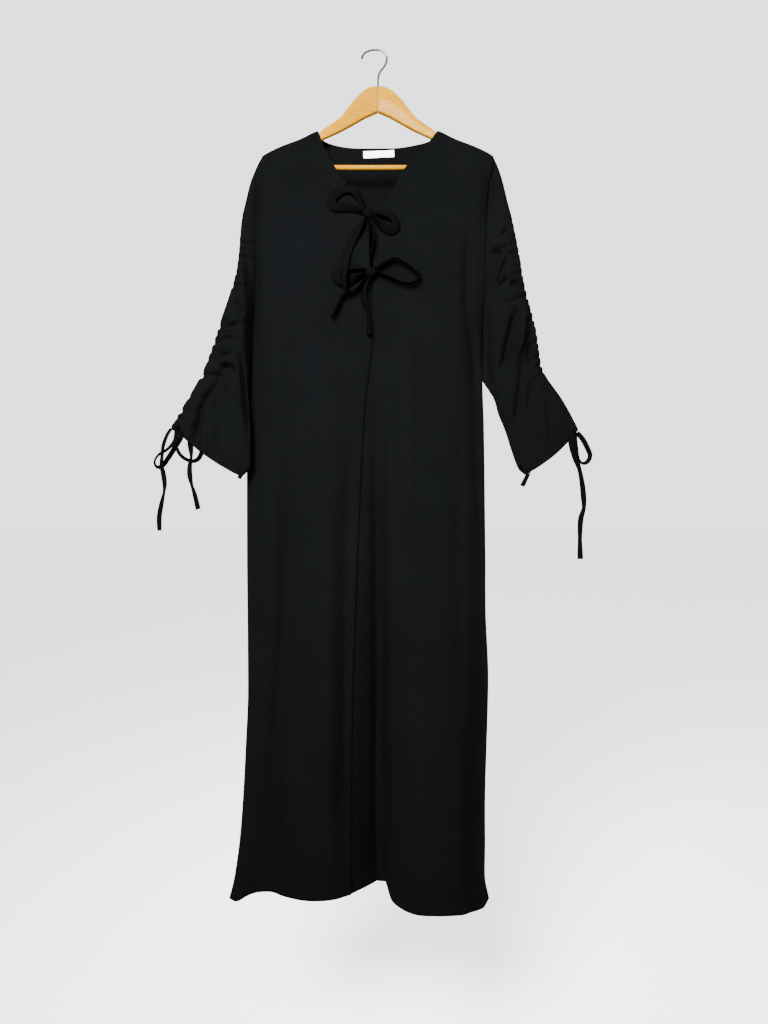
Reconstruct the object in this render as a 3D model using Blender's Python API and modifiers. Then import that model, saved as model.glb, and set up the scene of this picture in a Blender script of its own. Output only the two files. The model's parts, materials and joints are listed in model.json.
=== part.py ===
"""A long black kimono with ruched drawstring sleeves, tied with two bows and hung on a wooden hanger.

Lengths are metres and +Z is up. The origin is the inside top of the hanger's hook, where a peg carries it.
+X is the viewer's right and -Y is towards the viewer. Tables give heights as distances down from the origin.
"""

import bisect
import math
from collections import namedtuple

import bmesh
import bpy
from mathutils import Matrix, Vector
from mathutils.bvhtree import BVHTree

COLLECTION = "kimono_on_hanger"

# Cloth
CLOTH = 0.0014
SEAM_GAP = 0.0003
ARMHOLE_GAP = 0.0008
PLY = CLOTH + SEAM_GAP
ARMHOLE_TOP_DOWN = 0.2145
UNDERARM_DOWN = 0.621
SIDE_HEM_DOWN = 1.565
NECK_HALF = 0.111
NECK_POINT_DOWN = 0.324
SHOULDER_HALF = 0.2112
HALF_RIDGE = 0.00045
SETTLE_DROP = 0.050
FRONT_SIDE_REACH = 0.055
BACK_SIDE_REACH = 0.045
BACK_HALF = 0.200
HEM_EASE_SHARE = 0.75

# The left front lies this much further forward where it laps over the right one.
LAP_LIFT = 0.0032
LAP_WIDTH = 0.022
LAP_FADE = 0.034
LAP_TOP_DOWN = 0.395
LAP_TOP_SPAN = 0.060

# Wooden hanger. ARM_WRAP is how far the cloth's middle stands before and behind an arm's.
ARM_SWEEP = 0.167
ARM_WRAP = 0.0070
BAR_RADIUS = 0.0042
BAR_DOWN = 0.2310
BAR_HALF = 0.1808
BAR_SEGMENTS = 16
WIRE = 0.0030

# Tapes
BOW_TAPE = 0.016
CUFF_TAPE = 0.0060
TAPE_THICK = 0.0012
TAPE_STEP = 0.0085
TAPE_COLUMNS = 2
TAPE_CUP = 0.06

ShoulderRow = namedtuple("ShoulderRow", "x down")
SHOULDER = (
    ShoulderRow(0.000, 0.1230),
    ShoulderRow(0.066, 0.1440),
    ShoulderRow(0.111, 0.1595),
    ShoulderRow(0.143, 0.1772),
    ShoulderRow(0.178, 0.1935),
    ShoulderRow(0.205, 0.2090),
    ShoulderRow(0.2112, 0.2145),
)

FrontNeckRow = namedtuple("FrontNeckRow", "x down")
FRONT_NECK_LEFT = (
    FrontNeckRow(-0.111, 0.1595),
    FrontNeckRow(-0.097, 0.1975),
    FrontNeckRow(-0.080, 0.2315),
    FrontNeckRow(-0.060, 0.2625),
    FrontNeckRow(-0.029, 0.3090),
    FrontNeckRow(-0.016, 0.3240),
)
FRONT_NECK_RIGHT = (
    FrontNeckRow(-0.008, 0.3240),
    FrontNeckRow(0.004, 0.3120),
    FrontNeckRow(0.031, 0.2680),
    FrontNeckRow(0.055, 0.2285),
    FrontNeckRow(0.086, 0.1935),
    FrontNeckRow(0.111, 0.1595),
)

BackNeckRow = namedtuple("BackNeckRow", "x down")
BACK_NECK = (
    BackNeckRow(-0.1110, 0.1595),
    BackNeckRow(-0.0985, 0.1700),
    BackNeckRow(-0.0745, 0.1783),
    BackNeckRow(-0.0500, 0.1818),
    BackNeckRow(0.0000, 0.1822),
    BackNeckRow(0.0380, 0.1815),
    BackNeckRow(0.0760, 0.1750),
    BackNeckRow(0.0940, 0.1697),
    BackNeckRow(0.1110, 0.1595),
)

# Where the armholes and, below the underarm, the side seams lie. y_left and y_right are the seams' depths.
SideRow = namedtuple("SideRow", "down left right y_left y_right")
SIDES = (
    SideRow(0.150, -0.2112, 0.2112, -0.0350, -0.0350),
    SideRow(0.215, -0.2112, 0.2112, -0.0350, -0.0350),
    SideRow(0.260, -0.2160, 0.2045, -0.0340, -0.0340),
    SideRow(0.340, -0.2170, 0.1985, -0.0320, -0.0320),
    SideRow(0.430, -0.2195, 0.1955, -0.0300, -0.0300),
    SideRow(0.530, -0.2295, 0.1930, -0.0250, -0.0250),
    SideRow(0.621, -0.2363, 0.1930, -0.0200, -0.0200),
    SideRow(0.660, -0.2402, 0.1940, -0.0200, -0.0200),
    SideRow(0.700, -0.2415, 0.1955, -0.0200, -0.0200),
    SideRow(0.950, -0.2416, 0.1985, -0.0200, -0.0200),
    SideRow(1.050, -0.2404, 0.1990, -0.0210, -0.0200),
    SideRow(1.150, -0.2396, 0.2035, -0.0220, -0.0200),
    SideRow(1.210, -0.2396, 0.2030, -0.0230, -0.0210),
    SideRow(1.280, -0.2425, 0.2008, -0.0250, -0.0220),
    SideRow(1.383, -0.2470, 0.1972, -0.0310, -0.0260),
    SideRow(1.460, -0.2525, 0.1966, -0.0360, -0.0310),
    SideRow(1.530, -0.2612, 0.1955, -0.0450, -0.0400),
    SideRow(1.565, -0.2690, 0.2020, -0.0500, -0.0460),
)

# Depth of the armhole's front and back edges, and of the front and back cloth away from the sides.
DepthRow = namedtuple("DepthRow", "down front_edge back_edge front back_side back_middle")
DEPTHS = (
    DepthRow(0.150, -0.0435, -0.0265, -0.0255, -0.0100, 0.0060),
    DepthRow(0.190, -0.0435, -0.0265, -0.0300, -0.0090, 0.0070),
    DepthRow(0.225, -0.0435, -0.0265, -0.0425, -0.0080, 0.0080),
    DepthRow(0.300, -0.0440, -0.0220, -0.0445, -0.0040, 0.0100),
    DepthRow(0.450, -0.0440, -0.0140, -0.0460, 0.0000, 0.0110),
    DepthRow(0.560, -0.0330, -0.0140, -0.0460, 0.0030, 0.0120),
    DepthRow(0.621, -0.0209, -0.0191, -0.0460, 0.0050, 0.0120),
    DepthRow(1.000, -0.0209, -0.0191, -0.0450, 0.0080, 0.0130),
    DepthRow(1.565, -0.0209, -0.0191, -0.0440, 0.0060, 0.0140),
)

# The front opening: x of the upper panel's edge, and how far the under panel reaches past it.
OpeningRow = namedtuple("OpeningRow", "down x underlap")
OPENING = (
    OpeningRow(0.324, -0.0160, -0.0080),
    OpeningRow(0.405, -0.0142, -0.0060),
    OpeningRow(0.470, -0.0120, 0.0000),
    OpeningRow(0.560, -0.0106, 0.0080),
    OpeningRow(0.654, -0.0215, 0.0120),
    OpeningRow(0.795, -0.0306, 0.0130),
    OpeningRow(1.000, -0.0390, 0.0130),
    OpeningRow(1.263, -0.0473, 0.0130),
    OpeningRow(1.575, -0.0476, 0.0130),
)

HemRow = namedtuple("HemRow", "x down")
FRONT_HEM = (
    HemRow(-0.2690, 1.5610),
    HemRow(-0.2557, 1.5675),
    HemRow(-0.2349, 1.5600),
    HemRow(-0.2000, 1.5585),
    HemRow(-0.1200, 1.5585),
    HemRow(-0.0400, 1.5575),
    HemRow(0.0060, 1.5530),
    HemRow(0.0140, 1.5515),
    HemRow(0.0190, 1.5525),
    HemRow(0.0250, 1.5595),
    HemRow(0.0340, 1.5650),
    HemRow(0.0510, 1.5690),
    HemRow(0.0780, 1.5703),
    HemRow(0.1000, 1.5705),
    HemRow(0.1300, 1.5722),
    HemRow(0.1600, 1.5766),
    HemRow(0.1793, 1.5815),
    HemRow(0.1930, 1.5780),
    HemRow(0.2020, 1.5625),
)
BACK_HEM = (
    HemRow(-0.2690, 1.5610),
    HemRow(-0.2537, 1.5655),
    HemRow(-0.2000, 1.5570),
    HemRow(0.1500, 1.5570),
    HemRow(0.1900, 1.5650),
    HemRow(0.2020, 1.5625),
)

# Lengthwise folds of the skirt: where each lies, where it starts, its depth at the hem (+ is away from the
# viewer) and how far it spreads to either side.
FoldRow = namedtuple("FoldRow", "x_top x_hem down_top depth spread_left spread_right")
FRONT_FOLDS = (
    FoldRow(-0.165, -0.222, 0.80, 0.012, 0.030, 0.040),
    FoldRow(-0.114, -0.110, 0.90, -0.024, 0.060, 0.060),
    FoldRow(0.008, 0.0125, 0.55, 0.052, 0.052, 0.0068),
    FoldRow(0.080, 0.078, 0.75, -0.052, 0.052, 0.090),
    FoldRow(0.150, 0.152, 1.00, -0.014, 0.050, 0.040),
)
BACK_FOLDS = (
    FoldRow(-0.150, -0.165, 0.75, -0.010, 0.045, 0.045),
    FoldRow(-0.060, -0.070, 0.60, 0.005, 0.040, 0.040),
    FoldRow(0.020, 0.020, 0.70, -0.009, 0.040, 0.040),
    FoldRow(0.110, 0.120, 0.80, 0.005, 0.045, 0.045),
)

# Rows of cloth points, as drops from the shoulder at the armhole and then evenly to the hem.
ARMHOLE_DROPS = (0.0, 0.0009, 0.0040, 0.011, 0.030, 0.062, 0.105, 0.155, 0.210, 0.265, 0.320, 0.368, 0.4065)
SKIRT_ROWS = 22
SHOULDER_COLUMNS = 4
LEFT_NECK_SHARES = (0.0, 0.13, 0.34, 0.56, 0.78, 1.0)
RIGHT_NECK_SHARES = (0.0, 0.11, 0.24, 0.37, 0.50, 0.63, 0.76, 0.88, 1.0)
BACK_NECK_SHARES = (0.0, 0.06, 0.17, 0.36, 0.64, 0.83, 0.94, 1.0)
LEFT_HEM_FRACTIONS = (0.0, 0.06, 0.17, 0.29, 0.42, 0.55, 0.68, 0.79, 0.90, 1.0)
RIGHT_HEM_FRACTIONS = (0.0, 0.08, 0.19, 0.32, 0.45, 0.565, 0.635, 0.675, 0.697, 0.718, 0.750, 0.85, 1.0)
COLUMN_SHIFT_DOWN = 0.60
COLUMN_SHIFT_SPAN = 0.50
COLUMN_TRIES = 30
PATH_FINE = 12
VIEWER_Y = -1.0
CUFF_FRONT_Y = -0.065
SEAT_STEP = 0.0002
SEAT_TRIES = 200

# Sleeves, by rings from the armhole to the cuff: the outer and inner ends of each ring, and its half depth.
RingRow = namedtuple("RingRow", "t outer_x outer_down inner_x inner_down outer_y inner_y half_depth")
LEFT_SLEEVE = (
    RingRow(0.00, -0.2118, 0.2145, -0.2369, 0.6210, -0.0350, -0.0200, 0.0100),
    RingRow(0.06, -0.2190, 0.2255, -0.2382, 0.6290, -0.0355, -0.0290, 0.0110),
    RingRow(0.14, -0.2324, 0.2610, -0.2374, 0.6420, -0.0360, -0.0380, 0.0120),
    RingRow(0.22, -0.2415, 0.2990, -0.2362, 0.6560, -0.0370, -0.0450, 0.0140),
    RingRow(0.28, -0.2480, 0.3288, -0.2352, 0.6660, -0.0380, -0.0465, 0.0160),
    RingRow(0.42, -0.2550, 0.4052, -0.2328, 0.6900, -0.0390, -0.0475, 0.0175),
    RingRow(0.50, -0.2640, 0.4473, -0.2318, 0.7030, -0.0400, -0.0480, 0.0180),
    RingRow(0.62, -0.2850, 0.5108, -0.2307, 0.7220, -0.0400, -0.0480, 0.0180),
    RingRow(0.80, -0.3165, 0.6020, -0.2297, 0.7500, -0.0400, -0.0480, 0.0170),
    RingRow(0.91, -0.3465, 0.6570, -0.2300, 0.7670, -0.0400, -0.0480, 0.0150),
    RingRow(0.96, -0.3608, 0.6840, -0.2318, 0.7830, -0.0400, -0.0480, 0.0135),
    RingRow(1.00, -0.3702, 0.7070, -0.2465, 0.7990, -0.0400, -0.0480, 0.0110),
)
RIGHT_SLEEVE = (
    RingRow(0.00, 0.2118, 0.2145, 0.1936, 0.6210, -0.0350, -0.0200, 0.0100),
    RingRow(0.06, 0.2175, 0.2255, 0.1960, 0.6255, -0.0355, -0.0230, 0.0120),
    RingRow(0.14, 0.2280, 0.2600, 0.2010, 0.6350, -0.0360, -0.0270, 0.0140),
    RingRow(0.22, 0.2365, 0.2960, 0.2060, 0.6440, -0.0370, -0.0300, 0.0155),
    RingRow(0.30, 0.2460, 0.3328, 0.2110, 0.6520, -0.0380, -0.0320, 0.0165),
    RingRow(0.42, 0.2590, 0.3985, 0.2155, 0.6650, -0.0390, -0.0340, 0.0175),
    RingRow(0.52, 0.2670, 0.4476, 0.2200, 0.6830, -0.0400, -0.0350, 0.0180),
    RingRow(0.66, 0.2880, 0.5296, 0.2290, 0.7050, -0.0400, -0.0360, 0.0180),
    RingRow(0.80, 0.3020, 0.6064, 0.2360, 0.7250, -0.0400, -0.0370, 0.0170),
    RingRow(0.90, 0.3352, 0.6570, 0.2440, 0.7510, -0.0400, -0.0380, 0.0150),
    RingRow(0.96, 0.3533, 0.6890, 0.2562, 0.7830, -0.0400, -0.0380, 0.0135),
    RingRow(1.00, 0.3650, 0.7120, 0.2680, 0.7945, -0.0400, -0.0380, 0.0110),
)
RING_FRACTIONS = (0.0, 0.016, 0.045, 0.09, 0.15, 0.23, 0.33, 0.44, 0.56, 0.68, 0.80, 0.92, 1.0)
PLAIN_RINGS = (0.0, 0.025, 0.06, 0.10, 0.15, 0.20, 0.25)
EDGE_BLEND = 0.16
RING_BLEND = 0.14

# Each drawn-up gather along the outside of a sleeve: its size against the usual one.
GATHER_REACH = 0.30
GATHER_EDGE = 0.10
GATHER_HEIGHT = 0.0042
GATHER_VALLEY = 1.1

# The cuff's edge bows out this far past the straight line between its corners, from this ring on.
CUFF_BOW = 0.0070
CUFF_BOW_FROM = 0.80
LEFT_GATHERS = (0.6, 0.9, 1.1, 0.7, 1.2, 0.9, 1.4, 1.0, 1.5, 0.8, 1.2, 1.0, 0.8, 1.3, 1.2)
RIGHT_GATHERS = (0.9, 1.2, 0.8, 1.3, 1.0, 0.9, 1.4, 0.8, 1.1, 1.3, 0.9, 0.6, 0.3, 0.2, 0.2)

# Slanting creases of the sleeves' fronts: a line from one point to another, its half width, and its depth
# (+ is away from the viewer).
CREASE_END = 0.05
CreaseRow = namedtuple("CreaseRow", "x0 down0 x1 down1 half_width depth")
LEFT_CREASES = (
    CreaseRow(-0.262, 0.520, -0.300, 0.720, 0.012, 0.008),
    CreaseRow(-0.285, 0.560, -0.330, 0.660, 0.014, -0.005),
)
RIGHT_CREASES = (
    CreaseRow(0.262, 0.480, 0.225, 0.640, 0.010, 0.009),
    CreaseRow(0.272, 0.500, 0.240, 0.680, 0.010, -0.006),
    CreaseRow(0.270, 0.560, 0.262, 0.720, 0.009, 0.006),
    CreaseRow(0.225, 0.330, 0.215, 0.480, 0.008, 0.005),
)

# One arm of the hanger, from its middle to its end: heights of its top and underside, and half its thickness.
# The step takes the bar, and the notch by the neck takes the garment's shoulder seams.
HangerRow = namedtuple("HangerRow", "x top bottom half_thick")
HANGER_ARM = (
    HangerRow(0.00015, 0.0687, 0.1156, 0.0060),
    HangerRow(0.0060, 0.0690, 0.1165, 0.0060),
    HangerRow(0.0130, 0.0703, 0.1195, 0.0060),
    HangerRow(0.0200, 0.0742, 0.1250, 0.0060),
    HangerRow(0.0280, 0.0795, 0.1310, 0.0060),
    HangerRow(0.0470, 0.1005, 0.1430, 0.0058),
    HangerRow(0.0660, 0.1267, 0.1550, 0.0054),
    HangerRow(0.0850, 0.1437, 0.1655, 0.0048),
    HangerRow(0.0980, 0.1530, 0.1726, 0.0044),
    HangerRow(0.1045, 0.1583, 0.1760, 0.0040),
    HangerRow(0.1075, 0.1622, 0.1775, 0.0022),
    HangerRow(0.1105, 0.1638, 0.1790, 0.0022),
    HangerRow(0.1150, 0.1652, 0.1808, 0.0040),
    HangerRow(0.1430, 0.1795, 0.1930, 0.0043),
    HangerRow(0.1780, 0.1958, 0.2150, 0.0043),
    HangerRow(0.1812, 0.1976, 0.2165, 0.0043),
    HangerRow(0.1814, 0.1977, 0.2405, 0.0043),
    HangerRow(0.1900, 0.2024, 0.2415, 0.0043),
    HangerRow(0.1990, 0.2083, 0.2400, 0.0043),
    HangerRow(0.2035, 0.2121, 0.2360, 0.0040),
    HangerRow(0.2055, 0.2165, 0.2300, 0.0034),
)
# The arm's section: share of its half thickness, and how far in from the top or the underside.
SectionRow = namedtuple("SectionRow", "share inset")
ARM_SECTION = (SectionRow(0.25, 0.0), SectionRow(0.70, 0.0014), SectionRow(1.0, 0.0046))

HookRow = namedtuple("HookRow", "x z")
HOOK = (
    HookRow(-0.0305, -0.0150),
    HookRow(-0.0281, -0.0089),
    HookRow(-0.0225, -0.0028),
    HookRow(-0.0120, 0.0009),
    HookRow(0.0000, 0.0015),
    HookRow(0.0084, -0.0016),
    HookRow(0.0149, -0.0084),
    HookRow(0.0164, -0.0163),
    HookRow(0.0140, -0.0257),
    HookRow(0.0075, -0.0350),
    HookRow(0.0024, -0.0425),
    HookRow(0.0005, -0.0509),
    HookRow(0.0000, -0.0603),
    HookRow(0.0000, -0.0684),
)
HOOK_STEPS = 40

# Blank label inside the back neck
LABEL_LEFT = -0.0275
LABEL_RIGHT = 0.0300
LABEL_TOP_DOWN = 0.1845
LABEL_DROP = 0.0135
LABEL_TILT_DEG = -1.5
LABEL_THICK = 0.0008
LABEL_COLUMNS = 6
LABEL_LIFT = 0.0003

# Knots: where each lies on the cloth, and its half sizes.
KNOT_SEGMENTS = 12
KNOT_RINGS = 8
KnotRow = namedtuple("KnotRow", "x down half_x half_y half_z")
UPPER_KNOT = KnotRow(-0.0177, 0.3233, 0.0100, 0.0085, 0.0090)
LOWER_KNOT = KnotRow(-0.0125, 0.4300, 0.0105, 0.0085, 0.0095)
LEFT_CUFF_KNOT = KnotRow(-0.3655, 0.7095, 0.0055, 0.0045, 0.0055)
LEFT_CORNER_KNOT = KnotRow(-0.2485, 0.7990, 0.0043, 0.0041, 0.0043)
RIGHT_CUFF_KNOT = KnotRow(0.3560, 0.7165, 0.0045, 0.0040, 0.0045)
RIGHT_CORNER_KNOT = KnotRow(0.2735, 0.7895, 0.0040, 0.0036, 0.0036)

# Tapes: each point's place from its knot, how far its back edge stands off what is behind it, and how far it is
# turned from flat (0) to edge-on (90).
TapeRow = namedtuple("TapeRow", "right up off turn")
UPPER_LEFT_LOOP = (
    TapeRow(-0.011, 0.024, 0.0010, 75),
    TapeRow(-0.022, 0.037, 0.0012, 50),
    TapeRow(-0.040, 0.044, 0.0015, 40),
    TapeRow(-0.059, 0.038, 0.0015, 38),
    TapeRow(-0.070, 0.022, 0.0015, 40),
    TapeRow(-0.059, 0.011, 0.0015, 42),
    TapeRow(-0.034, 0.008, 0.0012, 55),
    TapeRow(-0.014, 0.003, 0.0010, 75),
)
UPPER_RIGHT_LOOP = (
    TapeRow(0.014, -0.010, 0.0010, 75),
    TapeRow(0.030, -0.026, 0.0020, 52),
    TapeRow(0.044, -0.029, 0.0025, 45),
    TapeRow(0.051, -0.018, 0.0030, 45),
    TapeRow(0.042, -0.004, 0.0025, 45),
    TapeRow(0.026, 0.001, 0.0020, 52),
    TapeRow(0.014, 0.001, 0.0010, 75),
)
UPPER_LEFT_TAIL = (
    TapeRow(-0.009, -0.012, 0.0010, 75),
    TapeRow(-0.018, -0.028, 0.0010, 40),
    TapeRow(-0.028, -0.045, 0.0010, 16),
    TapeRow(-0.037, -0.066, 0.0010, 10),
    TapeRow(-0.041, -0.084, 0.0040, 14),
    TapeRow(-0.042, -0.100, 0.0115, 30),
    TapeRow(-0.043, -0.118, 0.0130, 50),
    TapeRow(-0.041, -0.140, 0.0130, 66),
)
UPPER_RIGHT_TAIL = (
    TapeRow(0.003, -0.014, 0.0010, 75),
    TapeRow(0.009, -0.030, 0.0010, 78),
    TapeRow(0.010, -0.050, 0.0010, 82),
    TapeRow(0.005, -0.072, 0.0010, 70),
)
LOWER_LEFT_LOOP = (
    TapeRow(-0.013, 0.009, 0.0010, 75),
    TapeRow(-0.032, 0.011, 0.0012, 50),
    TapeRow(-0.050, 0.008, 0.0012, 42),
    TapeRow(-0.0635, -0.004, 0.0012, 40),
    TapeRow(-0.056, -0.016, 0.0012, 42),
    TapeRow(-0.038, -0.0165, 0.0012, 50),
    TapeRow(-0.014, -0.005, 0.0010, 75),
)
LOWER_RIGHT_LOOP = (
    TapeRow(0.014, -0.001, 0.0010, 80),
    TapeRow(0.038, -0.012, 0.0015, 82),
    TapeRow(0.060, -0.021, 0.0020, 82),
    TapeRow(0.080, -0.018, 0.0020, 82),
    TapeRow(0.089, -0.006, 0.0020, 82),
    TapeRow(0.080, 0.003, 0.0020, 82),
    TapeRow(0.064, 0.015, 0.0020, 82),
    TapeRow(0.043, 0.025, 0.0015, 82),
    TapeRow(0.024, 0.018, 0.0015, 80),
    TapeRow(0.010, 0.010, 0.0010, 80),
)
LOWER_LEFT_TAIL = (
    TapeRow(-0.012, -0.012, 0.0010, 78),
    TapeRow(-0.030, -0.033, 0.0010, 82),
    TapeRow(-0.050, -0.040, 0.0010, 82),
    TapeRow(-0.061, -0.060, 0.0010, 78),
    TapeRow(-0.071, -0.079, 0.0010, 74),
)
LOWER_RIGHT_TAIL = (
    TapeRow(-0.005, -0.014, 0.0010, 75),
    TapeRow(-0.012, -0.030, 0.0010, 60),
    TapeRow(-0.012, -0.051, 0.0010, 55),
    TapeRow(-0.005, -0.078, 0.0010, 76),
    TapeRow(-0.004, -0.113, 0.0010, 66),
)
LEFT_CUFF_STRAND = (
    TapeRow(-0.006, -0.002, 0.0, 80),
    TapeRow(-0.0135, -0.014, 0.0040, 78),
    TapeRow(-0.0195, -0.033, 0.0066, 80),
    TapeRow(-0.0215, -0.051, 0.0070, 82),
    TapeRow(-0.023, -0.068, 0.0070, 60),
    TapeRow(-0.020, -0.086, 0.0050, 35),
    TapeRow(-0.018, -0.102, 0.0040, 50),
    TapeRow(-0.019, -0.117, 0.0030, 82),
    TapeRow(-0.024, -0.138, 0.0030, 45),
    TapeRow(-0.028, -0.161, 0.0030, 40),
    TapeRow(-0.0275, -0.1865, 0.0030, 60),
)
LEFT_CUFF_LOOP = (
    TapeRow(0.002, -0.007, 0.0, 55),
    TapeRow(-0.001, -0.024, 0.0, 66),
    TapeRow(-0.014, -0.040, 0.0, 82),
    TapeRow(-0.030, -0.050, 0.0, 84),
    TapeRow(-0.037, -0.0625, 0.0, 84),
    TapeRow(-0.033, -0.0715, 0.0, 84),
    TapeRow(-0.023, -0.0695, 0.0, 84),
    TapeRow(-0.011, -0.053, 0.0, 78),
    TapeRow(0.001, -0.034, 0.0, 66),
    TapeRow(0.010, -0.017, 0.0012, 50),
    TapeRow(0.006, -0.006, 0.0, 60),
)
LEFT_CUFF_DRAWN_LOOP = (
    TapeRow(0.0020, -0.038, -0.0070, 80),
    TapeRow(0.006, -0.047, -0.0066, 82),
    TapeRow(0.016, -0.056, -0.0040, 84),
    TapeRow(0.030, -0.061, -0.0030, 84),
    TapeRow(0.041, -0.057, -0.0022, 80),
    TapeRow(0.047, -0.046, -0.0012, 70),
    TapeRow(0.048, -0.034, -0.0009, 60),
    TapeRow(0.046, -0.024, 0.0010, 40),
)
LEFT_CUFF_TAIL = (
    TapeRow(0.022, -0.014, -0.0162, 15),
    TapeRow(0.024, -0.033, -0.0135, 15),
    TapeRow(0.0265, -0.052, -0.0120, 70),
    TapeRow(0.0235, -0.070, -0.0110, 35),
    TapeRow(0.0235, -0.086, -0.0110, 20),
    TapeRow(0.0275, -0.104, -0.0110, 66),
    TapeRow(0.033, -0.122, -0.0110, 45),
    TapeRow(0.039, -0.148, -0.0100, 25),
)
RIGHT_CUFF_LOOP = (
    TapeRow(0.005, -0.003, 0.0, 70),
    TapeRow(0.014, -0.014, 0.0010, 66),
    TapeRow(0.022, -0.030, 0.0030, 74),
    TapeRow(0.0265, -0.044, 0.0050, 84),
    TapeRow(0.022, -0.055, 0.0060, 84),
    TapeRow(0.013, -0.0585, 0.0070, 84),
    TapeRow(0.005, -0.050, 0.0072, 80),
    TapeRow(0.001, -0.028, 0.0072, 74),
    TapeRow(0.001, -0.007, 0.0, 76),
)
RIGHT_CUFF_TAIL = (
    TapeRow(-0.006, -0.0055, 0.0, 60),
    TapeRow(-0.006, -0.021, 0.0008, 26),
    TapeRow(0.000, -0.044, 0.0, 26),
    TapeRow(0.008, -0.067, 0.0, 70),
    TapeRow(0.0135, -0.094, 0.0, 60),
    TapeRow(0.0160, -0.115, 0.0, 35),
    TapeRow(0.0165, -0.138, 0.0, 76),
    TapeRow(0.0110, -0.160, 0.0, 45),
    TapeRow(0.0095, -0.193, 0.0, 78),
    TapeRow(0.0105, -0.231, 0.0, 30),
)
RIGHT_CORNER_END = (
    TapeRow(-0.001, -0.004, 0.0, 78),
    TapeRow(-0.005, -0.012, 0.0, 82),
    TapeRow(-0.012, -0.026, 0.0, 74),
)
RIGHT_CORNER_LOOP = (
    TapeRow(-0.004, -0.001, 0.0, 78),
    TapeRow(-0.010, 0.000, 0.0, 82),
    TapeRow(-0.0150, 0.006, 0.0, 84),
    TapeRow(-0.0165, 0.014, 0.0, 84),
)


def eased(value):
    """0 to 1 with soft ends."""
    value = min(max(value, 0.0), 1.0)
    return value * value * (3 - 2 * value)


def mixed(a, b, share):
    return a + (b - a) * share


def read(table, key, name):
    """A column's value where the table's first column is key, on one smooth curve through the rows."""
    keys = [row[0] for row in table]
    values = [getattr(row, name) for row in table]
    if key <= keys[0]:
        return values[0]
    if key >= keys[-1]:
        return values[-1]
    i = bisect.bisect_right(keys, key) - 1

    def slope(k):
        low, high = max(k - 1, 0), min(k + 1, len(keys) - 1)
        return (values[high] - values[low]) / (keys[high] - keys[low])

    span = keys[i + 1] - keys[i]
    s = (key - keys[i]) / span
    ends = values[i] * (1 - eased(s)) + values[i + 1] * eased(s)
    return ends + span * s * (1 - s) * (slope(i) * (1 - s) - slope(i + 1) * s)


def smooth_path(rows, count):
    """Points at even steps of length along a smooth curve through the rows, which may have any columns."""
    dense = []
    for i in range(len(rows) - 1):
        before, a = Vector(rows[max(i - 1, 0)]), Vector(rows[i])
        b, after = Vector(rows[i + 1]), Vector(rows[min(i + 2, len(rows) - 1)])
        for k in range(PATH_FINE):
            s = k / PATH_FINE
            dense.append(
                0.5 * (2 * a + (b - before) * s + (2 * before - 5 * a + 4 * b - after) * s * s
                       + (3 * a - before - 3 * b + after) * s ** 3)
            )
    dense.append(Vector(rows[-1]))
    lengths = [0.0]
    for a, b in zip(dense, dense[1:]):
        lengths.append(lengths[-1] + (b - a).to_3d().length)
    points = []
    for k in range(count + 1):
        at = lengths[-1] * k / count
        i = min(max(bisect.bisect_right(lengths, at) - 1, 0), len(dense) - 2)
        share = (at - lengths[i]) / (lengths[i + 1] - lengths[i])
        points.append(dense[i].lerp(dense[i + 1], min(share, 1.0)))
    return points


def clear_scene():
    for obj in list(bpy.data.objects):
        bpy.data.objects.remove(obj, do_unlink=True)


def material(name, colour, roughness, metallic=0.0):
    made = bpy.data.materials.new(name)
    made.use_nodes = True
    shader = made.node_tree.nodes["Principled BSDF"]
    shader.inputs["Base Color"].default_value = (*colour, 1.0)
    shader.inputs["Roughness"].default_value = roughness
    shader.inputs["Metallic"].default_value = metallic
    made.diffuse_color = (*colour, 1.0)
    return made


def add_object(name, data, parts, finish):
    obj = bpy.data.objects.new(name, data)
    data.materials.append(finish)
    parts.objects.link(obj)
    return obj


def mesh_from(name, bm):
    mesh = bpy.data.meshes.new(name)
    bm.to_mesh(mesh)
    bm.free()
    mesh.shade_smooth()
    return mesh


def grid_mesh(name, columns, rows, place, closed=False):
    """A grid whose points place(column, row) sets. A closed one is a tube."""
    bm = bmesh.new()
    bmesh.ops.create_grid(bm, x_segments=columns, y_segments=rows, size=1.0)
    for vert in bm.verts:
        column = round((vert.co.x + 1) / 2 * columns)
        row = round((vert.co.y + 1) / 2 * rows)
        vert.co = place(column % columns if closed else column, row)
    if closed:
        bmesh.ops.remove_doubles(bm, verts=bm.verts, dist=1e-7)
    return mesh_from(name, bm)


def cloth_object(name, mesh, parts, finish, thickness=CLOTH):
    obj = add_object(name, mesh, parts, finish)
    wall = obj.modifiers.new("wall", "SOLIDIFY")
    wall.thickness = thickness
    wall.offset = 0.0
    return obj


def arm_y(x):
    """Depth of the hanger's middle: its arms sweep forward towards their ends."""
    return -ARM_SWEEP * abs(x)


def shoulder_z(x):
    return -read(SHOULDER, abs(x), "down")


def wrapped(d):
    """How far cloth that leaves the hanger's top ridge has gone forward or back after dropping by d."""
    if d >= ARM_WRAP:
        return ARM_WRAP
    return math.sqrt(max(ARM_WRAP**2 - (ARM_WRAP - d) ** 2, 0.0))


def settled(d):
    """0 where cloth lies on the arm, rising to 1 where it hangs freely below."""
    return eased((d - ARM_WRAP) / SETTLE_DROP)


def fold_depth(x, z, folds):
    depth = 0.0
    for fold in folds:
        share = (-z - fold.down_top) / (SIDE_HEM_DOWN - fold.down_top)
        if share <= 0:
            continue
        away = x - mixed(fold.x_top, fold.x_hem, min(share, 1.0))
        spread = fold.spread_left if away < 0 else fold.spread_right
        depth += fold.depth * eased(share) * math.exp(-((away / spread) ** 2))
    return depth


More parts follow.
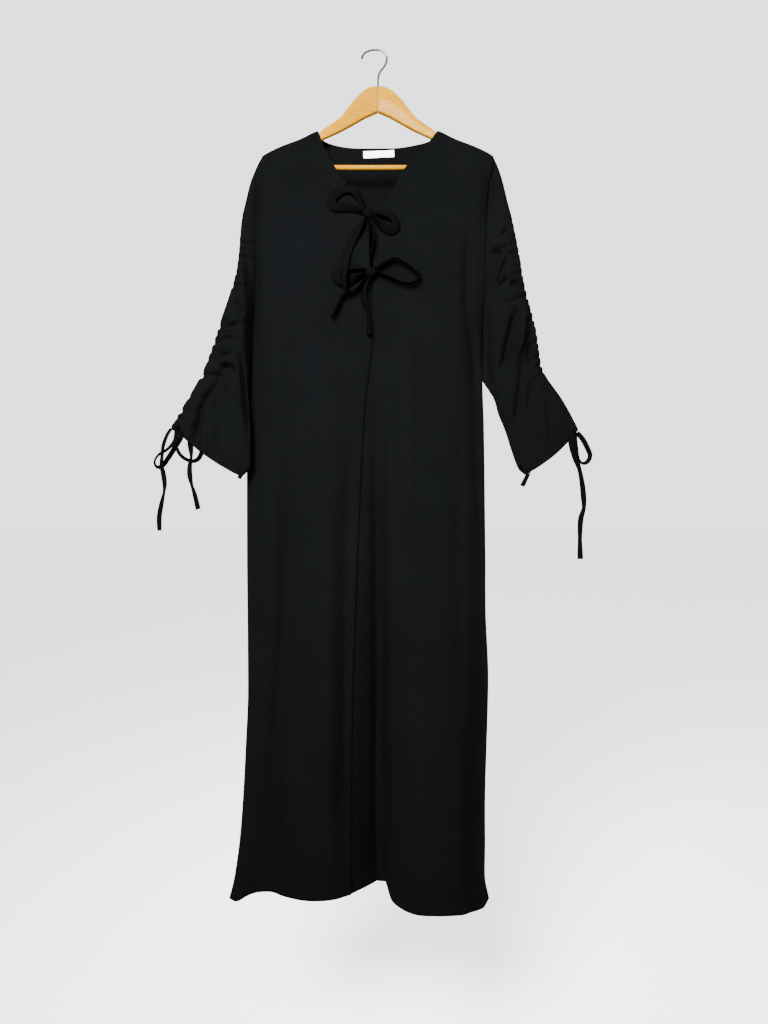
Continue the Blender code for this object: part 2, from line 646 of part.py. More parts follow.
def crease_depth(x, z, creases):
    depth = 0.0
    for row in creases:
        along = Vector((row.x1 - row.x0, row.down0 - row.down1))
        from_start = Vector((x - row.x0, z + row.down0))
        share = from_start.dot(along) / along.length_squared
        share = min(max(share, CREASE_END), 1 - CREASE_END)
        away = (from_start - along * share).length
        depth += row.depth * math.sin(math.pi * share) * math.exp(-((away / row.half_width) ** 2))
    return depth


def side_x(z, side):
    return read(SIDES, -z, "left" if side < 0 else "right")


def near_side(x, z, reach):
    """The nearer side, and 0 at its seam rising to 1 at that reach from it."""
    side = -1 if x < mixed(side_x(z, -1), side_x(z, 1), 0.5) else 1
    return side, eased(abs(x - side_x(z, side)) / reach)


def side_depth(z, side, edge):
    """Depth of a panel's outer edge: the armhole's above the underarm, the side seam's below it."""
    if -z < UNDERARM_DOWN:
        return read(DEPTHS, -z, edge)
    seam = read(SIDES, -z, "y_left" if side < 0 else "y_right")
    return seam + (-PLY / 2 if edge == "front_edge" else PLY / 2)


def front_y(x, z):
    """Depth of the front cloth, without the wrap over the hanger."""
    side, inward = near_side(x, z, FRONT_SIDE_REACH)
    body = read(DEPTHS, -z, "front") + fold_depth(x, z, FRONT_FOLDS)
    return mixed(side_depth(z, side, "front_edge"), body, inward)


def back_y(x, z):
    side, inward = near_side(x, z, BACK_SIDE_REACH)
    middle = 1 - min(abs(x) / BACK_HALF, 1.0) ** 2
    body = mixed(read(DEPTHS, -z, "back_side"), read(DEPTHS, -z, "back_middle"), middle)
    body += fold_depth(x, z, BACK_FOLDS)
    return mixed(side_depth(z, side, "back_edge"), body, inward)


def over_shoulder(x, d, depth, way):
    """Depth of cloth that lies over the hanger's arm at its top and hangs at its own depth further down."""
    ridge = arm_y(x) + way * (HALF_RIDGE + wrapped(d))
    return mixed(ridge, depth, settled(d))


def column_top(fraction, line_x, outline):
    """Where a column of cloth meets the panel's top outline."""
    z = -NECK_POINT_DOWN
    for _ in range(COLUMN_TRIES):
        z = outline(line_x(fraction, z))
    return z


def hem_eased(share, hem, x):
    """How much further down a point goes so that its column ends on the hem's outline."""
    return eased((share - HEM_EASE_SHARE) / (1 - HEM_EASE_SHARE)) * (SIDE_HEM_DOWN - read(hem, x, "down"))


def row_shares():
    total = SIDE_HEM_DOWN - ARMHOLE_TOP_DOWN
    shares = [drop / total for drop in ARMHOLE_DROPS]
    last = shares[-1]
    return shares + [mixed(last, 1.0, (k + 1) / SKIRT_ROWS) for k in range(SKIRT_ROWS)]


def front_columns(side):
    """Each column's share of the way from the side to the opening, at the top and at the hem."""
    shoulder, opening = side * SHOULDER_HALF, opening_x(-NECK_POINT_DOWN, side)
    neck = (shoulder - side * NECK_HALF) / (shoulder - opening)
    neck_shares = LEFT_NECK_SHARES if side < 0 else RIGHT_NECK_SHARES
    top = [neck * k / SHOULDER_COLUMNS for k in range(SHOULDER_COLUMNS)]
    top += [mixed(neck, 1.0, share) for share in neck_shares]
    return top, LEFT_HEM_FRACTIONS if side < 0 else RIGHT_HEM_FRACTIONS


def opening_x(z, side):
    x = read(OPENING, -z, "x")
    return x if side < 0 else x - read(OPENING, -z, "underlap")


def lap_lift(x, z):
    """How much further forward the left front lies, near its edge and below the neck."""
    from_edge = opening_x(z, -1) - x
    below_neck = eased((-z - LAP_TOP_DOWN) / LAP_TOP_SPAN)
    return LAP_LIFT * below_neck * (1 - eased((from_edge - LAP_WIDTH) / LAP_FADE))


def front_panel(name, side, parts, finish):
    neck_rows = FRONT_NECK_LEFT if side < 0 else FRONT_NECK_RIGHT
    top_shares, hem_shares = front_columns(side)
    shares = row_shares()

    def outline(x):
        return shoulder_z(x) if abs(x) >= NECK_HALF else -read(neck_rows, x, "down")

    def line_x(share, z):
        return mixed(side_x(z, side), opening_x(z, side), share)

    tops = [column_top(share, line_x, outline) for share in top_shares]

    def place(column, row):
        top = tops[column]
        z = mixed(top, -SIDE_HEM_DOWN, shares[row])
        shift = eased((-z - COLUMN_SHIFT_DOWN) / COLUMN_SHIFT_SPAN)
        x = line_x(mixed(top_shares[column], hem_shares[column], shift), z)
        z += hem_eased(shares[row], FRONT_HEM, x)
        depth = front_y(x, z)
        if side < 0:
            depth -= lap_lift(x, z)
        if column <= SHOULDER_COLUMNS:
            depth = over_shoulder(x, top - z, depth, -1)
        return Vector((x, depth, z))

    mesh = grid_mesh(name, len(top_shares) - 1, len(shares) - 1, place)
    return cloth_object(name, mesh, parts, finish)


def back_panel(name, parts, finish):
    shares = row_shares()
    left = [k / SHOULDER_COLUMNS for k in range(SHOULDER_COLUMNS)]
    neck = (SHOULDER_HALF - NECK_HALF) / (2 * SHOULDER_HALF)
    columns = [neck * share for share in left]
    columns += [mixed(neck, 1 - neck, share) for share in BACK_NECK_SHARES]
    columns += [1 - neck * (1 - share) for share in left[1:]] + [1.0]
    neck_from, neck_to = SHOULDER_COLUMNS, SHOULDER_COLUMNS + len(BACK_NECK_SHARES) - 1

    def outline(x):
        return shoulder_z(x) if abs(x) >= NECK_HALF else -read(BACK_NECK, x, "down")

    def line_x(share, z):
        return mixed(side_x(z, -1), side_x(z, 1), share)

    tops = [column_top(share, line_x, outline) for share in columns]

    def place(column, row):
        top = tops[column]
        z = mixed(top, -SIDE_HEM_DOWN, shares[row])
        x = line_x(columns[column], z)
        z += hem_eased(shares[row], BACK_HEM, x)
        depth = back_y(x, z)
        if not neck_from < column < neck_to:
            depth = over_shoulder(x, top - z, depth, 1)
        return Vector((x, depth, z))

    mesh = grid_mesh(name, len(columns) - 1, len(shares) - 1, place)
    return cloth_object(name, mesh, parts, finish)


def first_ring(rows, k):
    """The straight line of the first ring, which the curved armhole departs from."""
    outer = Vector((rows[0].outer_x, -rows[0].outer_down))
    inner = Vector((rows[0].inner_x, -rows[0].inner_down))
    return outer.lerp(inner, ARMHOLE_DROPS[k] / ARMHOLE_DROPS[-1])


def armhole_depth(k, way, side):
    """Depth of the armhole's edge at one of its points, which the sleeve starts from."""
    drop = ARMHOLE_DROPS[k]
    if k == len(ARMHOLE_DROPS) - 1:
        return read(SIDES, UNDERARM_DOWN, "y_left" if side < 0 else "y_right")
    arm = arm_y(SHOULDER_HALF) + way * wrapped(drop)
    edge = "front_edge" if way < 0 else "back_edge"
    return mixed(arm, read(DEPTHS, ARMHOLE_TOP_DOWN + drop, edge), settled(drop))


def sleeve(name, side, rows, gathers, creases, parts, finish):
    """A tube from the armhole to the cuff. Its points run from the outside down the front and back up behind."""
    half = len(ARMHOLE_DROPS) - 1
    ring_at = list(PLAIN_RINGS)
    steps = 2 * len(gathers)
    ring_at += [mixed(PLAIN_RINGS[-1], 1.0, (k + 1) / steps) for k in range(steps)]

    def place(column, row):
        t = ring_at[row]
        front = column <= half
        way = -1 if front else 1
        k = column if front else 2 * half - column
        share = mixed(ARMHOLE_DROPS[k] / ARMHOLE_DROPS[-1], RING_FRACTIONS[k], eased(t / RING_BLEND))
        outer = Vector((read(rows, t, "outer_x"), -read(rows, t, "outer_down")))
        inner = Vector((read(rows, t, "inner_x"), -read(rows, t, "inner_down")))
        spot = outer.lerp(inner, share)
        across = math.sqrt(max(1 - (2 * share - 1) ** 2, 0.0))
        depth = mixed(read(rows, t, "outer_y"), read(rows, t, "inner_y"), share)
        depth += way * read(rows, t, "half_depth") * across
        if front:
            depth += crease_depth(spot.x, spot.y, creases)
        if t < EDGE_BLEND:
            blend = eased(t / EDGE_BLEND)
            z = -ARMHOLE_TOP_DOWN - ARMHOLE_DROPS[k]
            seam = Vector((side_x(z, side) + side * ARMHOLE_GAP, z))
            spot += (seam - first_ring(rows, k)) * (1 - blend)
            depth = mixed(armhole_depth(k, way, side), depth, blend)
        outward = (outer - inner).normalized()
        cuffward = Vector((side * outward.y, -side * outward.x))
        bow = eased((t - CUFF_BOW_FROM) / (1 - CUFF_BOW_FROM)) * across**2
        spot += cuffward * CUFF_BOW * bow
        step = row - (len(PLAIN_RINGS) - 1)
        if 0 < step < steps:
            size = GATHER_HEIGHT * gathers[(step - 1) // 2]
            valley = 0.0 if step % 2 else -GATHER_VALLEY * size
            spot += outward * valley * math.exp(-((share / GATHER_EDGE) ** 2))
            depth += way * (size if step % 2 else -size) * across * math.exp(-((share / GATHER_REACH) ** 2))
        return Vector((spot.x, depth, spot.y))

    mesh = grid_mesh(name, 2 * half, len(ring_at) - 1, place, closed=True)
    return cloth_object(name, mesh, parts, finish)


def hanger_arm(name, side, parts, finish):
    outline = [Vector((row.share, row.inset)) for row in ARM_SECTION]
    bm = bmesh.new()
    rings = []
    for row in HANGER_ARM:
        top = [(point.x, -row.top - point.y) for point in outline]
        under = [(point.x, -row.bottom + point.y) for point in reversed(outline)]
        right = top + under
        ring = right + [(-share, z) for share, z in reversed(right)]
        middle = arm_y(row.x)
        rings.append([
            bm.verts.new((side * row.x, middle + share * row.half_thick, z)) for share, z in ring
        ])
    for a, b in zip(rings, rings[1:]):
        for k, vert in enumerate(a):
            after = (k + 1) % len(a)
            bm.faces.new((vert, a[after], b[after], b[k]))
    bm.faces.new(rings[0])
    bm.faces.new(rings[-1])
    bmesh.ops.recalc_face_normals(bm, faces=bm.faces)
    return add_object(name, mesh_from(name, bm), parts, finish)


def trouser_bar(name, parts, finish):
    bm = bmesh.new()
    lying = Matrix.Rotation(math.pi / 2, 4, "Y")
    bmesh.ops.create_cone(
        bm, cap_ends=True, segments=BAR_SEGMENTS, radius1=BAR_RADIUS, radius2=BAR_RADIUS, depth=2 * BAR_HALF,
        matrix=Matrix.Translation((0, arm_y(BAR_HALF), -BAR_DOWN)) @ lying,
    )
    return add_object(name, mesh_from(name, bm), parts, finish)


def wire_hook(name, parts, finish):
    curve = bpy.data.curves.new(name, "CURVE")
    curve.dimensions = "3D"
    curve.bevel_depth = WIRE / 2
    curve.bevel_resolution = 2
    curve.use_fill_caps = True
    points = smooth_path([(row.x, 0.0, row.z) for row in HOOK], HOOK_STEPS)
    spline = curve.splines.new("POLY")
    spline.points.add(len(points) - 1)
    for point, place in zip(spline.points, points):
        point.co = (*place, 1.0)
        point.radius = 1.0
    return add_object(name, curve, parts, finish)


def cloth_tree(*objects):
    """The cloth's middle surfaces, to ask where they lie."""
    points, faces = [], []
    for obj in objects:
        first = len(points)
        points += [vert.co.copy() for vert in obj.data.vertices]
        faces += [[first + k for k in face.vertices] for face in obj.data.polygons]
    return BVHTree.FromPolygons(points, faces)


def cloth_face(tree, x, z, reach=0.0):
    """Depth of the face that the viewer sees, at its foremost within that reach to either side."""
    found = []
    for spot in (x - reach, x, x + reach):
        hit = tree.ray_cast(Vector((spot, VIEWER_Y, z)), Vector((0, 1, 0)))[0]
        if hit is not None:
            found.append(hit.y - CLOTH / 2)
    return min(found) if found else None


def neck_label(name, back, parts, finish):
    tree = cloth_tree(back)
    turn = math.radians(LABEL_TILT_DEG)

    def place(column, row):
        along = (LABEL_RIGHT - LABEL_LEFT) * column / LABEL_COLUMNS
        drop = LABEL_DROP * row
        x = LABEL_LEFT + along * math.cos(turn) - drop * math.sin(turn)
        z = -LABEL_TOP_DOWN - along * math.sin(turn) - drop * math.cos(turn)
        return Vector((x, cloth_face(tree, x, z) - LABEL_LIFT - LABEL_THICK / 2, z))

    mesh = grid_mesh(name, LABEL_COLUMNS, 1, place)
    return cloth_object(name, mesh, parts, finish, LABEL_THICK)


def knot_centre(row, face):
    """The middle of a knot that rests on the cloth in front of which face says it lies."""
    return Vector((row.x, face - SEAM_GAP - row.half_y, -row.down))


def knot(name, row, centre, parts, finish):
    bm = bmesh.new()
    size = Matrix.Diagonal((row.half_x, row.half_y, row.half_z, 1.0))
    bmesh.ops.create_uvsphere(
        bm, u_segments=KNOT_SEGMENTS, v_segments=KNOT_RINGS, radius=1.0, matrix=Matrix.Translation(centre) @ size,
    )
    return add_object(name, mesh_from(name, bm), parts, finish)


def knot_surface(row, centre, way):
    """The point a seam's gap outside a knot in that direction."""
    way = way.normalized()
    share = Vector((way.x / row.half_x, way.y / row.half_y, way.z / row.half_z))
    return centre + way * (1 / share.length + SEAM_GAP + TAPE_THICK / 4)


def tape(name, rows, width, tied, centre, face, parts, finish, ends=(True, False)):
    """A flat tape through its rows. face(x, z) is the depth of what lies behind it, and ends says which ends
    start at the knot."""
    line = []
    for row in rows:
        x, z, turn = centre.x + row.right, centre.z + row.up, math.radians(row.turn)
        stand = width / 2 * abs(math.sin(turn)) + TAPE_THICK / 2 * abs(math.cos(turn))
        line.append([x, z, face(x, z) - SEAM_GAP - row.off - stand, turn])
    for held, i in zip(ends, (0, -1)):
        if held:
            spot = knot_surface(tied, centre, Vector((rows[i].right, 0, rows[i].up)))
            line[i][:3] = spot.x, spot.z, spot.y
    length = sum((Vector(b[:3]) - Vector(a[:3])).length for a, b in zip(line, line[1:]))
    steps = max(round(length / TAPE_STEP), 4)
    points = smooth_path(line, steps)
    columns = TAPE_COLUMNS if width > CUFF_TAPE else 1

    def place(column, step):
        x, z, y, turn = points[step]
        ahead = points[min(step + 1, steps)] - points[max(step - 1, 0)]
        side = Vector((-ahead.y, 0, ahead.x)).normalized()
        near = Vector((0, -1, 0))
        across = 2 * column / columns - 1
        broad = side * math.cos(turn) + near * math.sin(turn)
        out = near * math.cos(turn) - side * math.sin(turn)
        spot = Vector((x, y, z)) + broad * across * width / 2
        return spot + out * TAPE_CUP * width * (1 - across * across)

    mesh = grid_mesh(name, columns, steps, place)
    return cloth_object(name, mesh, parts, finish, TAPE_THICK)


def front_bow(name, row, loops, tails, tree, parts, finish):
    centre = knot_centre(row, cloth_face(tree, row.x, -row.down, row.half_x))
    knot(f"{name}_knot", row, centre, parts, finish)

    def face(x, z):
        return cloth_face(tree, x, z, BOW_TAPE / 2) or centre.y + row.half_y

    for side, rows in zip(("left", "right"), loops):
        tape(f"{name}_loop_{side}", rows, BOW_TAPE, row, centre, face, parts, finish, (True, True))
    for side, rows in zip(("left", "right"), tails):
        tape(f"{name}_tail_{side}", rows, BOW_TAPE, row, centre, face, parts, finish)


def cuff_knot(name, row, tree, parts, finish):
    """A knot brought up to the cuff's edge from in front until it rests there."""
    reach = max(row.half_x, row.half_y, row.half_z) + CLOTH / 2 + SEAM_GAP
    spots = [Vector((row.x, CUFF_FRONT_Y + k * SEAT_STEP, -row.down)) for k in range(SEAT_TRIES)]
    centre = next(spot for spot in spots if tree.find_nearest(spot)[3] <= reach)
    knot(name, row, centre, parts, finish)
    return centre


def tie_plane(centre):
    """Where a tie that hangs free beside the cuff would rest its back edge if it hung level with its knot."""
    return lambda x, z: centre.y + CUFF_TAPE / 2 + SEAM_GAP


def cuff_ties(name, row, tree, ties, parts, finish):
    centre = cuff_knot(f"{name}_knot", row, tree, parts, finish)
    for tie, (rows, ends) in ties.items():
        face = tie_plane(centre)
        tape(f"{name}_{tie}", rows, CUFF_TAPE, row, centre, face, parts, finish, ends)


def main():
    clear_scene()
    parts = bpy.data.collections.new(COLLECTION)
    bpy.context.scene.collection.children.link(parts)
    crepe = material("black_crepe", (0.010, 0.010, 0.011), 0.8)
    tape_cloth = material("black_tape", (0.008, 0.008, 0.009), 0.7)
    label_cloth = material("white_label", (0.80, 0.80, 0.78), 0.6)
    wood = material("varnished_wood", (0.72, 0.42, 0.14), 0.35)
    chrome = material("chromed_wire", (0.80, 0.80, 0.80), 0.15, 1.0)

    for side, word in ((-1, "left"), (1, "right")):
        hanger_arm(f"hanger_{word}", side, parts, wood)
    trouser_bar("hanger_bar", parts, wood)
    wire_hook("hanger_hook", parts, chrome)

    back = back_panel("back", parts, crepe)
    fronts = [front_panel(f"front_{word}", side, parts, crepe) for side, word in ((-1, "left"), (1, "right"))]
    left = sleeve("sleeve_left", -1, LEFT_SLEEVE, LEFT_GATHERS, LEFT_CREASES, parts, crepe)
    right = sleeve("sleeve_right", 1, RIGHT_SLEEVE, RIGHT_GATHERS, RIGHT_CREASES, parts, crepe)
    neck_label("neck_label", back, parts, label_cloth)

    tree = cloth_tree(*fronts)
    front_bow("upper_bow", UPPER_KNOT, (UPPER_LEFT_LOOP, UPPER_RIGHT_LOOP),
              (UPPER_LEFT_TAIL, UPPER_RIGHT_TAIL), tree, parts, tape_cloth)
    front_bow("lower_bow", LOWER_KNOT, (LOWER_LEFT_LOOP, LOWER_RIGHT_LOOP),
              (LOWER_LEFT_TAIL, LOWER_RIGHT_TAIL), tree, parts, tape_cloth)

    tree = cloth_tree(left)
    cuff_ties("left_cuff", LEFT_CUFF_KNOT, tree, {
        "strand": (LEFT_CUFF_STRAND, (True, False)),
        "loop": (LEFT_CUFF_LOOP, (True, True)),
        "drawn_loop": (LEFT_CUFF_DRAWN_LOOP, (False, False)),
        "tail": (LEFT_CUFF_TAIL, (False, False)),
    }, parts, tape_cloth)
    cuff_ties("left_corner", LEFT_CORNER_KNOT, tree, {}, parts, tape_cloth)
    tree = cloth_tree(right)
    cuff_ties("right_cuff", RIGHT_CUFF_KNOT, tree, {
        "loop": (RIGHT_CUFF_LOOP, (True, True)),
        "tail": (RIGHT_CUFF_TAIL, (True, False)),
    }, parts, tape_cloth)
    cuff_ties("right_corner", RIGHT_CORNER_KNOT, tree, {
        "end": (RIGHT_CORNER_END, (True, False)),
        "loop": (RIGHT_CORNER_LOOP, (True, False)),
    }, parts, tape_cloth)


main()
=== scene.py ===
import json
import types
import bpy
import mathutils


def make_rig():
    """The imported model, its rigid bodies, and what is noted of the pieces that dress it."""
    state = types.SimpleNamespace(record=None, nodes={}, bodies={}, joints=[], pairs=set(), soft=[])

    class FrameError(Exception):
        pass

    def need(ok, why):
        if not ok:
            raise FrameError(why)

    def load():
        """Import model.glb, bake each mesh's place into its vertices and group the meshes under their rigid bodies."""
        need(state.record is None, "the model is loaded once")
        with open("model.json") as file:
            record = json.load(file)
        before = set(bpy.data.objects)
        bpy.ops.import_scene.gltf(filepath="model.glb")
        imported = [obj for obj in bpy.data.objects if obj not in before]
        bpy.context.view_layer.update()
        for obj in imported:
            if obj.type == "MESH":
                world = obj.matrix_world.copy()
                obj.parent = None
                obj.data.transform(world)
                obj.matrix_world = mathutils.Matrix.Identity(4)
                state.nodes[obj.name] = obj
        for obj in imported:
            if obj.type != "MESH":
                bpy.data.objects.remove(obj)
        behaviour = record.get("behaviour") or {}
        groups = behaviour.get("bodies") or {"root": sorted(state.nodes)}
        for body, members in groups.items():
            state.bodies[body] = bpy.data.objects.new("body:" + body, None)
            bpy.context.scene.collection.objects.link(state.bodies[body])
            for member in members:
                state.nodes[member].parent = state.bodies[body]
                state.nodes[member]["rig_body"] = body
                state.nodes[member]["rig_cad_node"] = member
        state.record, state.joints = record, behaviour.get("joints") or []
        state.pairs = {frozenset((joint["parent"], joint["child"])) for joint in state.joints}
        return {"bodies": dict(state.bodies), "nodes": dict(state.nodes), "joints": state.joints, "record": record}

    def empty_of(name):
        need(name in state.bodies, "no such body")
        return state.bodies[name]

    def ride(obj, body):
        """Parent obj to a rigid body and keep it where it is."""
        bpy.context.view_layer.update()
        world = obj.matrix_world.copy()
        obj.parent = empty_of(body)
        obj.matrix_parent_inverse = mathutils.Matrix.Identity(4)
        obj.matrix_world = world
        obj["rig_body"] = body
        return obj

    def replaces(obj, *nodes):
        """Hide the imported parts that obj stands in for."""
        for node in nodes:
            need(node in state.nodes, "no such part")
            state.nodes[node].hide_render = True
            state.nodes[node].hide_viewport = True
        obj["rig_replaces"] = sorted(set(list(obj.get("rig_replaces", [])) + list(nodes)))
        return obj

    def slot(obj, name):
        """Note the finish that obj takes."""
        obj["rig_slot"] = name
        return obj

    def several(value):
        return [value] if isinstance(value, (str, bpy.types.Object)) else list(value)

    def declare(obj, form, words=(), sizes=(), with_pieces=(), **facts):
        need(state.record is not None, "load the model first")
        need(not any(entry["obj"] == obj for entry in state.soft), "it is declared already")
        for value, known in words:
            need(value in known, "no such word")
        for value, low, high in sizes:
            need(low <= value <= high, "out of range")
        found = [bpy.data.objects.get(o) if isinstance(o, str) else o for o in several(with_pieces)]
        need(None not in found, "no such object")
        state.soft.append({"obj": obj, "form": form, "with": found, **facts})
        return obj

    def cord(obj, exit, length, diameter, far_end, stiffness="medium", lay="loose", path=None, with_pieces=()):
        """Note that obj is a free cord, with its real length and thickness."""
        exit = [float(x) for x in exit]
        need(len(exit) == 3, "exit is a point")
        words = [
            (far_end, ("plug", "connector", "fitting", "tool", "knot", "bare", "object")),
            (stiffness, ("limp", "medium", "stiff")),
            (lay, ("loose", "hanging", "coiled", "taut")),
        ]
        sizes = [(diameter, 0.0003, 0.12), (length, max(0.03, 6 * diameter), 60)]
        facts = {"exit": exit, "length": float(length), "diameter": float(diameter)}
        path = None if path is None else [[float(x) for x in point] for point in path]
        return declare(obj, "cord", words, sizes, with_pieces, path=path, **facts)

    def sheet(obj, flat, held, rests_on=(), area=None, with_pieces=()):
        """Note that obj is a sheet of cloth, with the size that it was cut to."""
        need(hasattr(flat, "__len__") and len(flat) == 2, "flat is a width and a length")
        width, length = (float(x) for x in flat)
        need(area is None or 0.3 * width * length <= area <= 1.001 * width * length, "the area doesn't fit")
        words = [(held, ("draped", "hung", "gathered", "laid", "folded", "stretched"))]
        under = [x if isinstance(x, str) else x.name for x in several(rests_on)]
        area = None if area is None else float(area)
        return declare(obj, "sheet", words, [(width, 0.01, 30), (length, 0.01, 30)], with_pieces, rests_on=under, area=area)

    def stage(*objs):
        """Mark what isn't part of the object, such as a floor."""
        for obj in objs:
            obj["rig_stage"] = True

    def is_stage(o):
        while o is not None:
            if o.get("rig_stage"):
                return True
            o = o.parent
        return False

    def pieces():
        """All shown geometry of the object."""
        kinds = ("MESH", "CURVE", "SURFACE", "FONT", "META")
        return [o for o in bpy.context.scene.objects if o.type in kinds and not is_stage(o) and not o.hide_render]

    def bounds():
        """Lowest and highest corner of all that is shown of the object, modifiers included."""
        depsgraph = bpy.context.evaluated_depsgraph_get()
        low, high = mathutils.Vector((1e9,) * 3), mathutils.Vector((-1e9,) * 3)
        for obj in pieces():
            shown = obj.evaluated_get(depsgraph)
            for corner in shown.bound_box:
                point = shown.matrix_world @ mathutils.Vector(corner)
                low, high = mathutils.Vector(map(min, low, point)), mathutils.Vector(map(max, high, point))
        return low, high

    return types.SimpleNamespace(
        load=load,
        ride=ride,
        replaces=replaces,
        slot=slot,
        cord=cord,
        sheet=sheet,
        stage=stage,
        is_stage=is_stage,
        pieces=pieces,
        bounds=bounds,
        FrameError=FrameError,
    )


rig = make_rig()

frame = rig.load()

import bisect
import json
import math
from collections import namedtuple

import bmesh
import bpy
from bpy.props import FloatProperty, FloatVectorProperty, PointerProperty
from mathutils import Matrix, Vector, noise
from mathutils.bvhtree import BVHTree

bl_info = {
    "name": "Kimono on its hanger",
    "version": (1, 0, 0),
    "blender": (4, 5, 0),
    "location": "View3D > Sidebar > Kimono",
    "description": "A long black kimono with ruched sleeves and two bows, on a wooden hanger",
    "category": "Object",
}

# Lengths are metres, +Z is up and -Y is towards the viewer. The origin is the inside top of the
# hanger's hook. Tables give heights as distances down from it, and left and right are the viewer's own.

# The garment's main heights and half widths, how far cloth takes to settle from the hanger's ridge and from
# its side seams to its own depth, and how the hanger's arms sweep forward and are wrapped.
ARMHOLE_TOP_DOWN = 0.2145
UNDERARM_DOWN = 0.621
SIDE_HEM_DOWN = 1.565
NECK_HALF = 0.111
NECK_POINT_DOWN = 0.324
SHOULDER_HALF = 0.2112
HALF_RIDGE = 0.00045
SETTLE_DROP = 0.050
FRONT_SIDE_REACH = 0.055
BACK_SIDE_REACH = 0.045
BACK_HALF = 0.200
ARM_SWEEP = 0.167
ARM_WRAP = 0.0070

# A column of cloth eases onto the hem's outline from this share of its way down. Creases and waves fade out
# close to a side seam, and the back and the sleeves take their waves from other places of the noise.
HEM_EASE_SHARE = 0.75
EDGE_CALM = 3
BACK_WAVE_PLACE = 3.7
SLEEVE_WAVE_PLACE = 5.0

# The left front lies this much further forward where it laps over the right one.
LAP_LIFT = 0.0032
LAP_WIDTH = 0.022
LAP_FADE = 0.034
LAP_TOP_DOWN = 0.395
LAP_TOP_SPAN = 0.060

# The hem's doubled cloth stands proud and dips at its stitches, both as shares of the wall's thickness.
HEM_STAND = 0.7
HEM_STAND_RUN = 0.003
HEM_DIP = 0.9
HEM_DIP_HALF = 0.0016

# How finely the cloth is made, in metres or counts.
SHOULDER_COLUMNS = 4
COLUMN_SHIFT_DOWN = 0.60
COLUMN_SHIFT_SPAN = 0.50
COLUMN_TRIES = 30
COLUMN_PARTS = 5
ROW_STEP = 0.0072
SLEEVE_STEP = 0.0025
SLEEVE_BEHIND_STEP = 0.0050
SLEEVE_RINGS = 190
PATH_FINE = 12
ROUNDING = 1e-6
WELD = 1e-7

SIDE_NAMES = {-1: "left", 1: "right"}


def named_rows(kind, *rows):
    """A table of the rows, with their columns named."""
    return tuple(kind(*row) for row in rows)


def crease_rows(*rows):
    """A table of creases. A row gives half width, depth, and then each point's x and distance down."""
    return tuple(Crease(half_width, depth, named_rows(Spot, *spots)) for half_width, depth, *spots in rows)


Spot = namedtuple("Spot", "x down")
SHOULDER = named_rows(
    Spot,
    (0.000, 0.1230), (0.066, 0.1440), (0.111, 0.1595), (0.143, 0.1772), (0.178, 0.1935),
    (0.205, 0.2090), (0.2112, 0.2145),
)
FRONT_NECK_LEFT = named_rows(
    Spot,
    (-0.111, 0.1595), (-0.097, 0.1975), (-0.080, 0.2315), (-0.060, 0.2625), (-0.029, 0.3090),
    (-0.016, 0.3240),
)
FRONT_NECK_RIGHT = named_rows(
    Spot,
    (-0.008, 0.3240), (0.004, 0.3120), (0.031, 0.2680), (0.055, 0.2285), (0.086, 0.1935),
    (0.111, 0.1595),
)
BACK_NECK = named_rows(
    Spot,
    (-0.1110, 0.1595), (-0.0985, 0.1690), (-0.0745, 0.1765), (-0.0500, 0.1796), (0.0000, 0.1800),
    (0.0380, 0.1793), (0.0760, 0.1732), (0.0940, 0.1687), (0.1110, 0.1595),
)
FRONT_HEM = named_rows(
    Spot,
    (-0.2690, 1.5610), (-0.2557, 1.5675), (-0.2349, 1.5600), (-0.2000, 1.5585), (-0.1200, 1.5585),
    (-0.0400, 1.5575), (0.0060, 1.5530), (0.0140, 1.5515), (0.0190, 1.5525), (0.0250, 1.5595),
    (0.0340, 1.5650), (0.0510, 1.5690), (0.0780, 1.5703), (0.1000, 1.5705), (0.1300, 1.5722),
    (0.1600, 1.5766), (0.1793, 1.5815), (0.1930, 1.5780), (0.2020, 1.5625),
)
BACK_HEM = named_rows(
    Spot,
    (-0.2690, 1.5610), (-0.2537, 1.5655), (-0.2000, 1.5570), (0.1500, 1.5570), (0.1900, 1.5650),
    (0.2020, 1.5625),
)

# Where the armholes and, below the underarm, the side seams lie.
SideRow = namedtuple("SideRow", "down left right y_left y_right")
SIDES = named_rows(
    SideRow,
    (0.150, -0.2112, 0.2112, -0.0350, -0.0350),
    (0.215, -0.2112, 0.2112, -0.0350, -0.0350),
    (0.260, -0.2160, 0.2045, -0.0340, -0.0340),
    (0.340, -0.2170, 0.1985, -0.0320, -0.0320),
    (0.430, -0.2195, 0.1955, -0.0300, -0.0300),
    (0.530, -0.2295, 0.1930, -0.0250, -0.0250),
    (0.621, -0.2363, 0.1930, -0.0200, -0.0200),
    (0.660, -0.2402, 0.1940, -0.0200, -0.0200),
    (0.700, -0.2415, 0.1955, -0.0200, -0.0200),
    (0.950, -0.2416, 0.1985, -0.0200, -0.0200),
    (1.050, -0.2404, 0.1990, -0.0210, -0.0200),
    (1.150, -0.2396, 0.2035, -0.0220, -0.0200),
    (1.210, -0.2396, 0.2030, -0.0230, -0.0210),
    (1.280, -0.2425, 0.2008, -0.0250, -0.0220),
    (1.383, -0.2470, 0.1972, -0.0310, -0.0260),
    (1.460, -0.2525, 0.1966, -0.0360, -0.0310),
    (1.530, -0.2612, 0.1955, -0.0450, -0.0400),
    (1.565, -0.2690, 0.2020, -0.0500, -0.0460),
)

